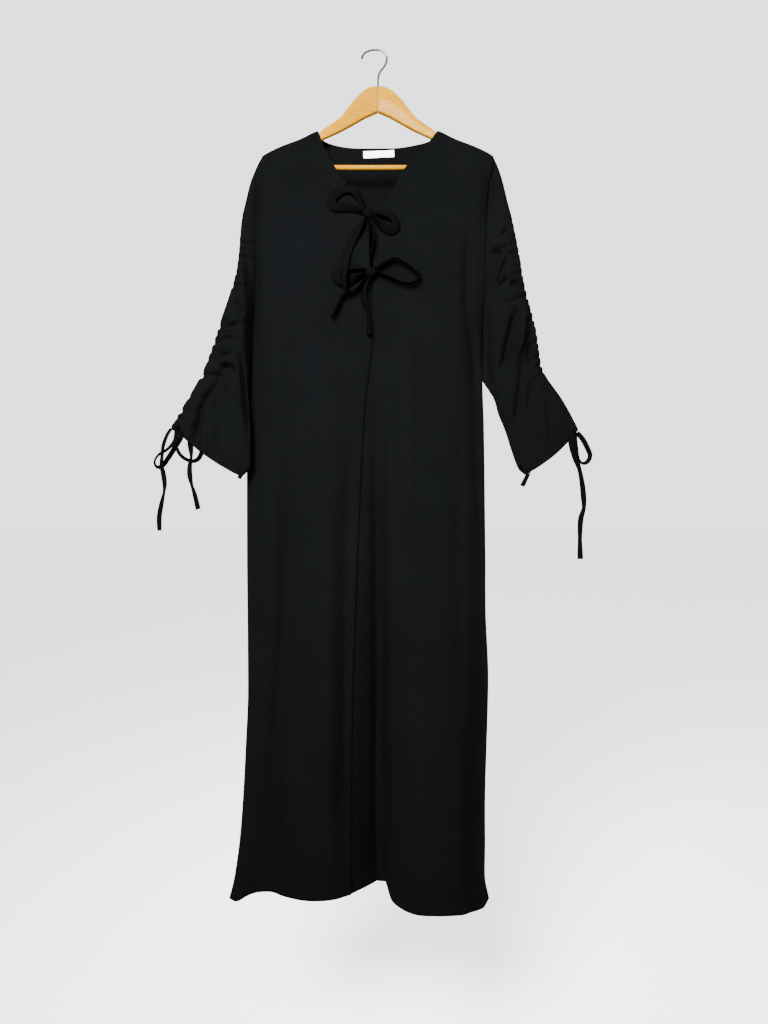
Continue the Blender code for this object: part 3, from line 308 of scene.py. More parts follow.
# Depth of the armhole's front and back edges, and of the front and back cloth away from the sides.
DepthRow = namedtuple("DepthRow", "down front_edge back_edge front back_side back_middle")
DEPTHS = named_rows(
    DepthRow,
    (0.150, -0.0435, -0.0265, -0.0255, -0.0100, 0.0060),
    (0.190, -0.0435, -0.0265, -0.0300, -0.0090, 0.0070),
    (0.225, -0.0435, -0.0265, -0.0425, -0.0080, 0.0080),
    (0.300, -0.0440, -0.0220, -0.0445, -0.0040, 0.0100),
    (0.450, -0.0440, -0.0140, -0.0460, 0.0000, 0.0110),
    (0.560, -0.0330, -0.0140, -0.0460, 0.0030, 0.0120),
    (0.621, -0.0209, -0.0191, -0.0460, 0.0050, 0.0120),
    (1.000, -0.0209, -0.0191, -0.0450, 0.0080, 0.0130),
    (1.565, -0.0209, -0.0191, -0.0440, 0.0060, 0.0140),
)

# How far the front is drawn in along the seam of each sleeve, as a share of the room to the back.
DrawnRow = namedtuple("DrawnRow", "down left right")
DRAWN_IN = named_rows(
    DrawnRow,
    (0.200, 0.00, 0.00), (0.240, 0.30, 0.45), (0.300, 0.45, 0.50), (0.350, 0.20, 0.15),
    (0.420, 0.45, 0.10), (0.500, 0.60, 0.30), (0.560, 0.55, 0.60), (0.600, 0.45, 0.60),
    (0.621, 0.00, 0.00),
)
DRAWN_SPREAD = 0.0085

# The front opening: x of the upper panel's edge, and how far the under panel reaches past it.
OpeningRow = namedtuple("OpeningRow", "down x underlap")
OPENING = named_rows(
    OpeningRow,
    (0.324, -0.0160, -0.0080), (0.405, -0.0142, -0.0060), (0.470, -0.0120, 0.0000),
    (0.560, -0.0106, 0.0080), (0.654, -0.0215, 0.0120), (0.795, -0.0306, 0.0130),
    (1.000, -0.0390, 0.0130), (1.263, -0.0473, 0.0130), (1.575, -0.0476, 0.0130),
)

# Lengthwise folds of the skirt: where each lies, where it starts, its depth at the hem (+ is away from the
# viewer) and how far it spreads to either side.
FoldRow = namedtuple("FoldRow", "x_top x_hem down_top depth spread_left spread_right")
FRONT_FOLDS = named_rows(
    FoldRow,
    (-0.165, -0.222, 0.80, 0.012, 0.030, 0.040),
    (-0.114, -0.110, 0.90, -0.024, 0.060, 0.060),
    (0.008, 0.0125, 0.55, 0.052, 0.052, 0.0068),
    (0.080, 0.078, 0.75, -0.052, 0.052, 0.090),
    (0.150, 0.152, 1.00, -0.014, 0.050, 0.040),
)
BACK_FOLDS = named_rows(
    FoldRow,
    (-0.150, -0.165, 0.75, -0.010, 0.045, 0.045),
    (-0.060, -0.070, 0.60, 0.005, 0.040, 0.040),
    (0.020, 0.020, 0.70, -0.009, 0.040, 0.040),
    (0.110, 0.120, 0.80, 0.005, 0.045, 0.045),
)

# The armhole by drops from its top, and each point's share of the way across the rings further out.
ArmholeRow = namedtuple("ArmholeRow", "drop share")
ARMHOLE = named_rows(
    ArmholeRow,
    (0.0, 0.0), (0.0009, 0.016), (0.0040, 0.045), (0.011, 0.09), (0.030, 0.15), (0.062, 0.23),
    (0.105, 0.33), (0.155, 0.44), (0.210, 0.56), (0.265, 0.68), (0.320, 0.80), (0.368, 0.92),
    (0.4065, 1.0),
)
LEFT_NECK_SHARES = (0.0, 0.13, 0.34, 0.56, 0.78, 1.0)
RIGHT_NECK_SHARES = (0.0, 0.11, 0.24, 0.37, 0.50, 0.63, 0.76, 0.88, 1.0)
BACK_NECK_SHARES = (0.0, 0.06, 0.17, 0.36, 0.64, 0.83, 0.94, 1.0)
LEFT_HEM_FRACTIONS = (0.0, 0.06, 0.17, 0.29, 0.42, 0.55, 0.68, 0.79, 0.90, 1.0)
RIGHT_HEM_FRACTIONS = (0.0, 0.08, 0.19, 0.32, 0.45, 0.565, 0.635, 0.675, 0.697, 0.718, 0.750, 0.85, 1.0)

# Sleeves, by rings from the armhole to the cuff: the outer and inner ends of each ring, and its half depth.
RingRow = namedtuple("RingRow", "t outer_x outer_down inner_x inner_down outer_y inner_y half_depth")
LEFT_SLEEVE = named_rows(
    RingRow,
    (0.00, -0.2118, 0.2145, -0.2369, 0.6210, -0.0350, -0.0200, 0.0100),
    (0.06, -0.2190, 0.2255, -0.2362, 0.6290, -0.0355, -0.0290, 0.0110),
    (0.14, -0.2324, 0.2610, -0.2352, 0.6420, -0.0360, -0.0380, 0.0120),
    (0.22, -0.2415, 0.2990, -0.2362, 0.6560, -0.0370, -0.0450, 0.0140),
    (0.28, -0.2480, 0.3288, -0.2352, 0.6660, -0.0380, -0.0465, 0.0160),
    (0.42, -0.2550, 0.4052, -0.2328, 0.6900, -0.0390, -0.0475, 0.0175),
    (0.50, -0.2640, 0.4473, -0.2318, 0.7030, -0.0400, -0.0480, 0.0180),
    (0.62, -0.2850, 0.5108, -0.2307, 0.7220, -0.0400, -0.0480, 0.0180),
    (0.80, -0.3165, 0.6020, -0.2297, 0.7500, -0.0400, -0.0480, 0.0170),
    (0.91, -0.3465, 0.6570, -0.2300, 0.7670, -0.0400, -0.0480, 0.0150),
    (0.96, -0.3640, 0.6850, -0.2318, 0.7830, -0.0400, -0.0480, 0.0135),
    (1.00, -0.3740, 0.7060, -0.2465, 0.7990, -0.0400, -0.0480, 0.0110),
)
RIGHT_SLEEVE = named_rows(
    RingRow,
    (0.00, 0.2118, 0.2145, 0.1936, 0.6210, -0.0350, -0.0200, 0.0100),
    (0.06, 0.2175, 0.2255, 0.1960, 0.6255, -0.0355, -0.0230, 0.0120),
    (0.14, 0.2280, 0.2600, 0.2010, 0.6350, -0.0360, -0.0270, 0.0140),
    (0.22, 0.2365, 0.2960, 0.2060, 0.6440, -0.0370, -0.0300, 0.0155),
    (0.30, 0.2460, 0.3328, 0.2110, 0.6520, -0.0380, -0.0320, 0.0165),
    (0.42, 0.2590, 0.3985, 0.2155, 0.6650, -0.0390, -0.0340, 0.0175),
    (0.52, 0.2670, 0.4476, 0.2200, 0.6830, -0.0400, -0.0350, 0.0180),
    (0.66, 0.2880, 0.5296, 0.2290, 0.7050, -0.0400, -0.0360, 0.0180),
    (0.80, 0.3020, 0.6064, 0.2360, 0.7250, -0.0400, -0.0370, 0.0170),
    (0.90, 0.3352, 0.6570, 0.2440, 0.7510, -0.0400, -0.0380, 0.0150),
    (0.96, 0.3533, 0.6890, 0.2562, 0.7830, -0.0400, -0.0380, 0.0135),
    (1.00, 0.3650, 0.7120, 0.2680, 0.7945, -0.0400, -0.0380, 0.0110),
)
EdgeRow = namedtuple("EdgeRow", "down x")
LEFT_EDGE = tuple(EdgeRow(row.outer_down, row.outer_x) for row in LEFT_SLEEVE)
RIGHT_EDGE = tuple(EdgeRow(row.outer_down, row.outer_x) for row in RIGHT_SLEEVE)
# By these shares of a sleeve's length its rings have left the armhole's edge and the armhole's spacing. The
# cuff's edge bows out, from CUFF_BOW_FROM on.
EDGE_BLEND = 0.16
RING_BLEND = 0.14
CUFF_BOW = 0.0070
CUFF_BOW_FROM = 0.80

# Gathers along the outside of a sleeve, from its shoulder to its cuff: each valley's notch in the edge,
# and the trough that runs in from there, with its depth, how far it reaches and how steeply it goes down.
GATHER_EDGE = 0.0060
GatherRow = namedtuple("GatherRow", "down notch half_width depth reach slope")
LEFT_GATHERS = named_rows(
    GatherRow,
    (0.3250, 0.0015, 0.0035, 0.0020, 0.012, 0.06), (0.3341, 0.0026, 0.0032, 0.0028, 0.013, 0.09),
    (0.3451, 0.0030, 0.0035, 0.0036, 0.017, 0.12), (0.3560, 0.0041, 0.0035, 0.0047, 0.019, 0.12),
    (0.3742, 0.0058, 0.0039, 0.0072, 0.029, 0.15), (0.3870, 0.0034, 0.0032, 0.0040, 0.017, 0.15),
    (0.3997, 0.0043, 0.0035, 0.0056, 0.023, 0.18), (0.4143, 0.0034, 0.0032, 0.0036, 0.019, 0.18),
    (0.4252, 0.0051, 0.0039, 0.0056, 0.024, 0.21), (0.4380, 0.0026, 0.0035, 0.0040, 0.020, 0.21),
    (0.4489, 0.0055, 0.0041, 0.0064, 0.035, 0.27), (0.5236, 0.0062, 0.0046, 0.0093, 0.050, -0.03),
    (0.5382, 0.0034, 0.0035, 0.0047, 0.024, 0.00), (0.5527, 0.0051, 0.0041, 0.0064, 0.033, 0.03),
    (0.5691, 0.0026, 0.0035, 0.0040, 0.024, 0.09), (0.5855, 0.0022, 0.0036, 0.0036, 0.024, 0.12),
    (0.6129, 0.0062, 0.0050, 0.0084, 0.039, 0.09), (0.6529, 0.0019, 0.0039, 0.0040, 0.030, 0.15),
    (0.6784, 0.0049, 0.0039, 0.0072, 0.024, 0.18), (0.6912, 0.0022, 0.0039, 0.0076, 0.024, 0.15),
)
RIGHT_GATHERS = named_rows(
    GatherRow,
    (0.3323, 0.0026, 0.0035, 0.0036, 0.013, 0.09), (0.3469, 0.0034, 0.0032, 0.0047, 0.020, 0.03),
    (0.3596, 0.0022, 0.0032, 0.0028, 0.014, 0.15), (0.3742, 0.0036, 0.0036, 0.0044, 0.021, 0.15),
    (0.3888, 0.0049, 0.0036, 0.0064, 0.024, 0.24), (0.4015, 0.0026, 0.0032, 0.0036, 0.014, 0.15),
    (0.4143, 0.0041, 0.0035, 0.0047, 0.019, 0.21), (0.4270, 0.0051, 0.0036, 0.0060, 0.029, 0.30),
    (0.4398, 0.0026, 0.0032, 0.0036, 0.017, 0.18), (0.4544, 0.0041, 0.0035, 0.0056, 0.020, 0.18),
    (0.4689, 0.0058, 0.0039, 0.0072, 0.033, 0.36), (0.4817, 0.0030, 0.0032, 0.0040, 0.017, 0.30),
    (0.4944, 0.0036, 0.0035, 0.0047, 0.019, 0.42), (0.5090, 0.0051, 0.0036, 0.0060, 0.023, 0.48),
    (0.5218, 0.0026, 0.0032, 0.0032, 0.013, 0.36), (0.5363, 0.0036, 0.0035, 0.0044, 0.017, 0.42),
    (0.5509, 0.0049, 0.0036, 0.0056, 0.021, 0.54), (0.5637, 0.0026, 0.0032, 0.0028, 0.012, 0.36),
    (0.5782, 0.0034, 0.0035, 0.0044, 0.017, 0.48), (0.5928, 0.0051, 0.0039, 0.0060, 0.020, 0.60),
    (0.6056, 0.0030, 0.0036, 0.0040, 0.017, 0.66),
)

# Creases, listed one by one. A positive depth is a valley, and a negative one a ridge.
Crease = namedtuple("Crease", "half_width depth spots")
LEFT_CREASES = crease_rows(
    (0.0103, 0.0093, (-0.262, 0.520), (-0.300, 0.720)),
    (0.0052, -0.0078, (-0.2833, 0.5335), (-0.2671, 0.5209), (-0.2490, 0.5191)),
    (0.0038, 0.0066, (-0.2800, 0.5290), (-0.2500, 0.5275)),
    (0.0034, 0.0054, (-0.2860, 0.5480), (-0.2600, 0.5480)),
    (0.0034, 0.0054, (-0.2860, 0.5800), (-0.2610, 0.5733)),
    (0.0052, -0.0093, (-0.2880, 0.5880), (-0.2689, 0.5900), (-0.2530, 0.6004)),
    (0.0050, 0.0085, (-0.2890, 0.6000), (-0.2689, 0.6010), (-0.2500, 0.6130)),
    (0.0056, 0.0130, (-0.2515, 0.5335), (-0.2540, 0.5715), (-0.2441, 0.5950), (-0.2400, 0.6221),
     (-0.2370, 0.6618), (-0.2340, 0.7088), (-0.2320, 0.7540)),
    (0.0056, -0.0054, (-0.2600, 0.5500), (-0.2500, 0.6050), (-0.2460, 0.7000)),
    (0.0086, -0.0062, (-0.2797, 0.6130), (-0.2833, 0.6528)),
    (0.0070, 0.0130, (-0.2812, 0.6220), (-0.3080, 0.6530), (-0.3185, 0.6780), (-0.3211, 0.7107),
     (-0.3131, 0.7458)),
    (0.0069, -0.0078, (-0.3400, 0.6871), (-0.3339, 0.7350)),
    (0.0086, -0.0085, (-0.3150, 0.6962), (-0.3040, 0.7630)),
    (0.0060, 0.0070, (-0.2900, 0.7000), (-0.2840, 0.7700)),
    (0.0069, 0.0054, (-0.2400, 0.3709), (-0.2290, 0.4793)),
    (0.0060, -0.0047, (-0.2490, 0.4107), (-0.2400, 0.4793)),
    (0.0077, 0.0070, (-0.2942, 0.6058), (-0.2671, 0.6600)),
    (0.0060, 0.0085, (-0.2600, 0.4750), (-0.2400, 0.5118)),
)
RIGHT_CREASES = crease_rows(
    (0.0034, 0.0078, (0.2380, 0.3500), (0.2240, 0.3570)),
    (0.0043, -0.0062, (0.2360, 0.3780), (0.2060, 0.3770)),
    (0.0052, 0.0109, (0.2045, 0.3872), (0.2300, 0.3980)),
    (0.0056, -0.0093, (0.2340, 0.3854), (0.2172, 0.4215), (0.2070, 0.4600)),
    (0.0043, 0.0085, (0.2400, 0.4370), (0.2170, 0.4540)),
    (0.0052, 0.0101, (0.2371, 0.4486), (0.2600, 0.4486)),
    (0.0070, -0.0100, (0.2730, 0.4700), (0.2650, 0.5155), (0.2560, 0.5570), (0.2420, 0.6050)),
    (0.0078, 0.0160, (0.2600, 0.4800), (0.2461, 0.5155), (0.2371, 0.5570), (0.2310, 0.5877),
     (0.2136, 0.6260)),
    (0.0043, -0.0062, (0.2642, 0.5245), (0.2570, 0.5769)),
    (0.0062, 0.0100, (0.2760, 0.5100), (0.2740, 0.5769), (0.2790, 0.6185)),
    (0.0072, 0.0100, (0.2642, 0.5606), (0.2606, 0.6094), (0.2551, 0.6636), (0.2515, 0.6871),
     (0.2460, 0.7251)),
    (0.0090, 0.0078, (0.2760, 0.6150), (0.2732, 0.6900)),
    (0.0086, -0.0070, (0.2960, 0.6350), (0.2950, 0.7500)),
    (0.0047, 0.0093, (0.2080, 0.3900), (0.2010, 0.5046), (0.2020, 0.5600)),
    (0.0080, 0.0180, (0.1990, 0.5000), (0.2000, 0.5900), (0.2060, 0.6700)),
)
BODY_CREASES = crease_rows(
    (0.0066, 0.0140, (-0.2050, 0.1500), (-0.2110, 0.3500), (-0.2220, 0.5335), (-0.2310, 0.7600)),
    (0.0130, 0.0041, (-0.1480, 0.3600), (-0.1460, 1.0600)),
    (0.0120, -0.0034, (-0.1820, 0.4200), (-0.1860, 0.9500)),
    (0.0360, 0.0081, (-0.0250, 0.5600), (-0.0280, 1.2000), (-0.0320, 1.5400)),
    (0.0110, -0.0047, (-0.0860, 0.6000), (-0.0940, 1.5500)),
    (0.0120, 0.0100, (-0.0480, 0.5600), (-0.0600, 1.0000), (-0.0660, 1.6500)),
    (0.0110, 0.0170, (-0.0020, 0.5800), (-0.0010, 1.0500), (0.0035, 1.7500)),
    (0.0170, 0.0150, (-0.1560, 0.7000), (-0.1680, 1.0500), (-0.1880, 1.3000), (-0.1980, 1.7500)),
    (0.0120, -0.0041, (0.0550, 0.4300), (0.0600, 0.9500)),
    (0.0130, 0.0085, (0.1450, 0.5500), (0.1480, 0.9000), (0.1500, 1.3000)),
    (0.0066, 0.0130, (0.2040, 0.1500), (0.1960, 0.3200), (0.1860, 0.5600)),
    (0.0075, 0.0100, (0.1657, 0.3239), (0.1606, 0.4396), (0.1657, 0.5480), (0.1684, 0.5805)),
    (0.0110, 0.0200, (0.1720, 0.5000), (0.1840, 0.5900), (0.1900, 0.6700)),
    (0.0060, 0.0068, (0.1700, 0.6500), (0.1811, 0.7504), (0.1865, 0.7883), (0.1901, 0.8769),
     (0.1940, 0.9600)),
)
BACK_CREASES = crease_rows(
    (0.0140, 0.0040, (-0.1200, 0.2600), (-0.1350, 0.7000), (-0.1300, 1.1000)),
    (0.0120, -0.0035, (-0.0700, 0.3000), (-0.0850, 0.9000)),
    (0.0110, 0.0040, (0.0450, 0.2500), (0.0600, 0.6500), (0.0560, 1.2500)),
    (0.0150, -0.0040, (0.1150, 0.3500), (0.1200, 1.0500)),
    (0.0080, 0.0050, (0.1900, 0.4700), (0.1500, 0.6200), (0.1400, 0.7800)),
    (0.0080, 0.0050, (-0.2150, 0.4600), (-0.1850, 0.6100), (-0.1700, 0.8000)),
    (0.0100, -0.0040, (-0.0200, 0.2200), (-0.0150, 0.6000)),
)
# A crease fades in over this share of its length and out over as much. Beyond BELL_REACH half widths
# nothing is left of a crease or gather. Behind a sleeve its creases lie shallower and shifted.
CREASE_END = 0.34
BELL_REACH = 3
BEHIND_SHARE = 0.7
BEHIND_SHIFT = Spot(0.006, 0.018)

# One arm of the hanger, from its middle to its end: how far down its top and its underside are, and half
# its thickness.
HangerRow = namedtuple("HangerRow", "x top bottom half_thick")
HANGER_ARM = named_rows(
    HangerRow,
    (0.00015, 0.0695, 0.1148, 0.0046), (0.0010, 0.0687, 0.1159, 0.0060),
    (0.0060, 0.0690, 0.1186, 0.0060), (0.0130, 0.0703, 0.1221, 0.0060),
    (0.0200, 0.0742, 0.1257, 0.0060), (0.0280, 0.0795, 0.1306, 0.0060),
    (0.0470, 0.1005, 0.1430, 0.0058), (0.0660, 0.1267, 0.1550, 0.0054),
    (0.0850, 0.1437, 0.1655, 0.0048), (0.0980, 0.1530, 0.1726, 0.0044),
    (0.1045, 0.1583, 0.1760, 0.0040), (0.1075, 0.1622, 0.1775, 0.0022),
    (0.1105, 0.1638, 0.1790, 0.0022), (0.1150, 0.1652, 0.1808, 0.0040),
    (0.1430, 0.1795, 0.1930, 0.0043), (0.1780, 0.1958, 0.2150, 0.0043),
    (0.1812, 0.1976, 0.2165, 0.0043), (0.1816, 0.1978, 0.2405, 0.0043),
    (0.1900, 0.2024, 0.2415, 0.0043), (0.1990, 0.2083, 0.2400, 0.0043),
    (0.2035, 0.2121, 0.2360, 0.0040), (0.2055, 0.2165, 0.2300, 0.0034),
)
# How finely an arm is made, how far its edges are rounded, which is at most a share of its half thickness,
# and how far apart the two arms' stretches of grain are.
ARM_PARTS = 5
ARM_AROUND = 28
ARM_EDGE = 0.0030
ARM_EDGE_SHARE = 0.75
ARM_GRAIN_APART = 0.5
BAR_RADIUS = 0.0042
BAR_DOWN = 0.2310
BAR_HALF = 0.1812
BAR_AROUND = 40
BAR_GRAIN_STRETCH = 1.5
WIRE = 0.0037
HookRow = namedtuple("HookRow", "x z")
HOOK = named_rows(
    HookRow,
    (-0.0305, -0.0150), (-0.0281, -0.0089), (-0.0225, -0.0028), (-0.0120, 0.0009), (0.0000, 0.0015),
    (0.0084, -0.0016), (0.0149, -0.0084), (0.0164, -0.0163), (0.0140, -0.0257), (0.0075, -0.0350),
    (0.0024, -0.0425), (0.0005, -0.0509), (0.0000, -0.0603), (0.0000, -0.0700),
)
HOOK_STEPS = 120
# The wire's finished end, point by point, as shares of its own thickness.
HOOK_TIP = (0.9, 1.3, 1.3, 1.2)

# The neck label. Its ends are turned under, stand up a little and are pulled in at their stitches, and its
# lower edge stands off in the middle.
LABEL_LEFT = -0.0275
LABEL_RIGHT = 0.0300
LABEL_TOP_DOWN = 0.1862
LABEL_DROP = 0.0128
LABEL_TILT_DEG = -2.4
LABEL_THICK = 0.0007
LABEL_COLUMNS = 46
LABEL_ROWS = 10
LABEL_CROWN = 0.0006
LABEL_END = 0.006
LABEL_END_RUN = 0.002
LABEL_END_LIFT = 0.0004
LABEL_STITCH_AT = 0.0022
LABEL_STITCH_HALF = 0.0006
LABEL_STITCH_DIP = 0.0003

KnotRow = namedtuple("KnotRow", "x down half_x half_y half_z")
UPPER_KNOT = KnotRow(-0.0177, 0.3233, 0.0100, 0.0085, 0.0090)
LOWER_KNOT = KnotRow(-0.0125, 0.4300, 0.0105, 0.0085, 0.0095)
LEFT_CUFF_KNOT = KnotRow(-0.3655, 0.7095, 0.0072, 0.0055, 0.0078)
LEFT_CORNER_KNOT = KnotRow(-0.2485, 0.7990, 0.0043, 0.0041, 0.0043)
RIGHT_CUFF_KNOT = KnotRow(0.3560, 0.7165, 0.0045, 0.0040, 0.0045)
RIGHT_CORNER_KNOT = KnotRow(0.2735, 0.7895, 0.0040, 0.0036, 0.0036)
# A knot is round, squared off by this power, and its body is this share of its half sizes.
KNOT_SQUARE = 2.7
KNOT_BODY = 0.90
KNOT_AROUND = 40
KNOT_RINGS = 24
# The turn of tape round a knot, as shares of the knot's half sizes: its slant, half width and soft edge,
# how far it stands out, the crease beside it, and the pleats of the tapes that go in.
WRAP_SLANT = 0.25
WRAP_HALF = 0.38
WRAP_EDGE = 0.16
WRAP_STAND = 0.07
WRAP_CREASE_AT = 0.56
WRAP_CREASE_HALF = 0.11
WRAP_CREASE = 0.20
PLEAT = 0.055
PLEAT_FROM = 0.4
PLEAT_RUN = 0.3
PLEATS_DOWN = 9
PLEATS_ACROSS = 3
# A cuff's knot starts in front of the cuff, and is brought back in small steps until it rests there.
CUFF_FRONT_Y = -0.065
CUFF_CLEAR = 0.0007
SEAT_STEP = 0.0002
SEAT_TRIES = 200
# How far a piece lies off the one that carries it.
SEAM_GAP = 0.0003

# Tapes: each point's place from its knot, how far its back edge stands off what is behind it, and how far
# it is turned from flat (0) to edge-on (90). A tape is hollow across and its edges ripple, both as shares
# of its width. A tie takes only a share of its turns.
TAPE_STEP = 0.0022
TAPE_STEPS_LEAST = 8
TAPE_CUP = 0.06
TAPE_RIPPLE = 0.03
TAPE_RIPPLE_RUN = 0.011
BOW_COLUMNS = 8
TIE_COLUMNS = 6
TIE_OPEN = {"loop": 0.70, "drawn_loop": 0.86, "strand": 0.84, "tail": 0.84, "end": 0.70}
VIEWER_Y = -1.0
TapeRow = namedtuple("TapeRow", "right up off turn")
UPPER_LEFT_LOOP = named_rows(
    TapeRow,
    (-0.011, 0.024, 0.0010, 70), (-0.022, 0.039, 0.0016, 30), (-0.040, 0.046, 0.0024, 14),
    (-0.057, 0.038, 0.0028, 8), (-0.067, 0.023, 0.0028, 8), (-0.058, 0.013, 0.0024, 14),
    (-0.036, 0.012, 0.0016, 26), (-0.014, 0.004, 0.0010, 70),
)
UPPER_RIGHT_LOOP = named_rows(
    TapeRow,
    (0.014, -0.010, 0.0010, 72), (0.030, -0.026, 0.0020, 40), (0.044, -0.029, 0.0025, 28),
    (0.051, -0.018, 0.0030, 26), (0.042, -0.004, 0.0025, 30), (0.026, 0.001, 0.0020, 44),
    (0.014, 0.001, 0.0010, 75),
)
UPPER_LEFT_TAIL = named_rows(
    TapeRow,
    (-0.009, -0.012, 0.0010, 75), (-0.018, -0.028, 0.0010, 40), (-0.028, -0.045, 0.0010, 16),
    (-0.037, -0.066, 0.0010, 10), (-0.041, -0.084, 0.0040, 14), (-0.042, -0.100, 0.0115, 30),
    (-0.043, -0.118, 0.0130, 50), (-0.041, -0.140, 0.0130, 66),
)
UPPER_RIGHT_TAIL = named_rows(
    TapeRow,
    (0.003, -0.014, 0.0010, 75), (0.009, -0.030, 0.0010, 78), (0.010, -0.050, 0.0010, 82),
    (0.005, -0.072, 0.0010, 70),
)
LOWER_LEFT_LOOP = named_rows(
    TapeRow,
    (-0.013, 0.009, 0.0010, 72), (-0.032, 0.011, 0.0014, 38), (-0.050, 0.008, 0.0018, 24),
    (-0.0635, -0.004, 0.0018, 20), (-0.056, -0.016, 0.0018, 26), (-0.038, -0.0165, 0.0014, 40),
    (-0.014, -0.005, 0.0010, 75),
)
LOWER_RIGHT_LOOP = named_rows(
    TapeRow,
    (0.014, -0.001, 0.0010, 80), (0.038, -0.012, 0.0015, 82), (0.060, -0.021, 0.0020, 82),
    (0.080, -0.018, 0.0020, 82), (0.089, -0.006, 0.0020, 82), (0.080, 0.003, 0.0020, 82),
    (0.064, 0.015, 0.0020, 82), (0.043, 0.025, 0.0015, 82), (0.024, 0.018, 0.0015, 80),
    (0.010, 0.010, 0.0010, 80),
)
LOWER_LEFT_TAIL = named_rows(
    TapeRow,
    (-0.012, -0.012, 0.0010, 78), (-0.030, -0.033, 0.0010, 82), (-0.050, -0.040, 0.0010, 82),
    (-0.061, -0.060, 0.0010, 78), (-0.071, -0.079, 0.0010, 74),
)
LOWER_RIGHT_TAIL = named_rows(
    TapeRow,
    (-0.005, -0.014, 0.0010, 75), (-0.012, -0.030, 0.0010, 60), (-0.012, -0.051, 0.0010, 55),
    (-0.005, -0.078, 0.0010, 76), (-0.004, -0.113, 0.0010, 66),
)
LEFT_CUFF_STRAND = named_rows(
    TapeRow,
    (-0.006, -0.002, 0.0, 60), (-0.0135, -0.014, 0.0040, 56), (-0.0195, -0.033, 0.0066, 56),
    (-0.0215, -0.051, 0.0070, 60), (-0.023, -0.068, 0.0070, 46), (-0.020, -0.086, 0.0050, 30),
    (-0.018, -0.102, 0.0040, 42), (-0.019, -0.117, 0.0030, 68), (-0.024, -0.138, 0.0030, 38),
    (-0.028, -0.161, 0.0030, 30), (-0.0275, -0.1865, 0.0030, 45),
)
LEFT_CUFF_LOOP = named_rows(
    TapeRow,
    (0.002, -0.007, 0.0, 55), (-0.001, -0.024, 0.0, 66), (-0.014, -0.040, 0.0, 82),
    (-0.030, -0.050, 0.0, 84), (-0.037, -0.0625, 0.0, 84), (-0.033, -0.0715, 0.0, 84),
    (-0.023, -0.0695, 0.0, 84), (-0.011, -0.053, 0.0, 78), (0.001, -0.034, 0.0, 66),
    (0.010, -0.017, 0.0012, 50), (0.006, -0.006, 0.0, 60),
)
LEFT_CUFF_DRAWN_LOOP = named_rows(
    TapeRow,
    (0.0020, -0.038, -0.0070, 56), (0.006, -0.047, -0.0066, 58), (0.016, -0.056, -0.0040, 66),
    (0.030, -0.061, -0.0030, 72), (0.041, -0.057, -0.0022, 70), (0.047, -0.046, -0.0012, 64),
    (0.048, -0.034, -0.0009, 60), (0.046, -0.024, 0.0010, 40),
)
LEFT_CUFF_TAIL = named_rows(
    TapeRow,
    (0.022, -0.014, -0.0162, 15), (0.024, -0.033, -0.0135, 15), (0.0265, -0.052, -0.0120, 70),
    (0.0235, -0.070, -0.0110, 35), (0.0235, -0.086, -0.0110, 20), (0.0275, -0.104, -0.0110, 66),
    (0.033, -0.122, -0.0110, 45), (0.039, -0.148, -0.0100, 25),
)
RIGHT_CUFF_LOOP = named_rows(
    TapeRow,
    (0.005, -0.003, 0.0, 70), (0.014, -0.014, 0.0010, 66), (0.022, -0.030, 0.0030, 74),
    (0.0265, -0.044, 0.0050, 84), (0.022, -0.055, 0.0060, 84), (0.013, -0.0585, 0.0070, 84),
    (0.005, -0.050, 0.0072, 80), (0.001, -0.028, 0.0072, 74), (0.001, -0.007, 0.0, 76),
)
RIGHT_CUFF_TAIL = named_rows(
    TapeRow,
    (-0.006, -0.0055, 0.0, 60), (-0.006, -0.021, 0.0008, 26), (0.000, -0.044, 0.0, 26),
    (0.008, -0.067, 0.0, 70), (0.0135, -0.094, 0.0, 60), (0.0160, -0.115, 0.0, 35),
    (0.0165, -0.138, 0.0, 76), (0.0110, -0.160, 0.0, 45), (0.0095, -0.193, 0.0, 78),
    (0.0105, -0.231, 0.0, 30),
)
RIGHT_CORNER_END = named_rows(
    TapeRow,
    (-0.001, -0.004, 0.0, 78), (-0.005, -0.012, 0.0, 82), (-0.012, -0.026, 0.0, 74),
)
RIGHT_CORNER_LOOP = named_rows(
    TapeRow,
    (-0.004, -0.001, 0.0, 78), (-0.010, 0.000, 0.0, 82), (-0.0150, 0.006, 0.0, 84),
    (-0.0165, 0.014, 0.0, 84),
)

# Soft unevenness of hanging cloth: its size across and down, and its height.
WaveRow = namedtuple("WaveRow", "across down height")
CLOTH_WAVES = named_rows(
    WaveRow,
    (0.050, 0.380, 0.0016), (0.021, 0.110, 0.0005), (0.009, 0.030, 0.00016),
)
SLEEVE_WAVES = named_rows(
    WaveRow,
    (0.030, 0.070, 0.0034), (0.013, 0.024, 0.0012), (0.007, 0.009, 0.0003),
)

# Flat sizes of what was cut, and the area of the cuts that aren't rectangles.
CutRow = namedtuple("CutRow", "width length area")
CUTS = {
    "back": CutRow(0.480, 1.420, 0.620),
    "front_left": CutRow(0.270, 1.420, 0.330),
    "front_right": CutRow(0.330, 1.440, 0.340),
    "sleeve_left": CutRow(0.820, 0.420, 0.125),
    "sleeve_right": CutRow(0.820, 0.420, 0.125),
}

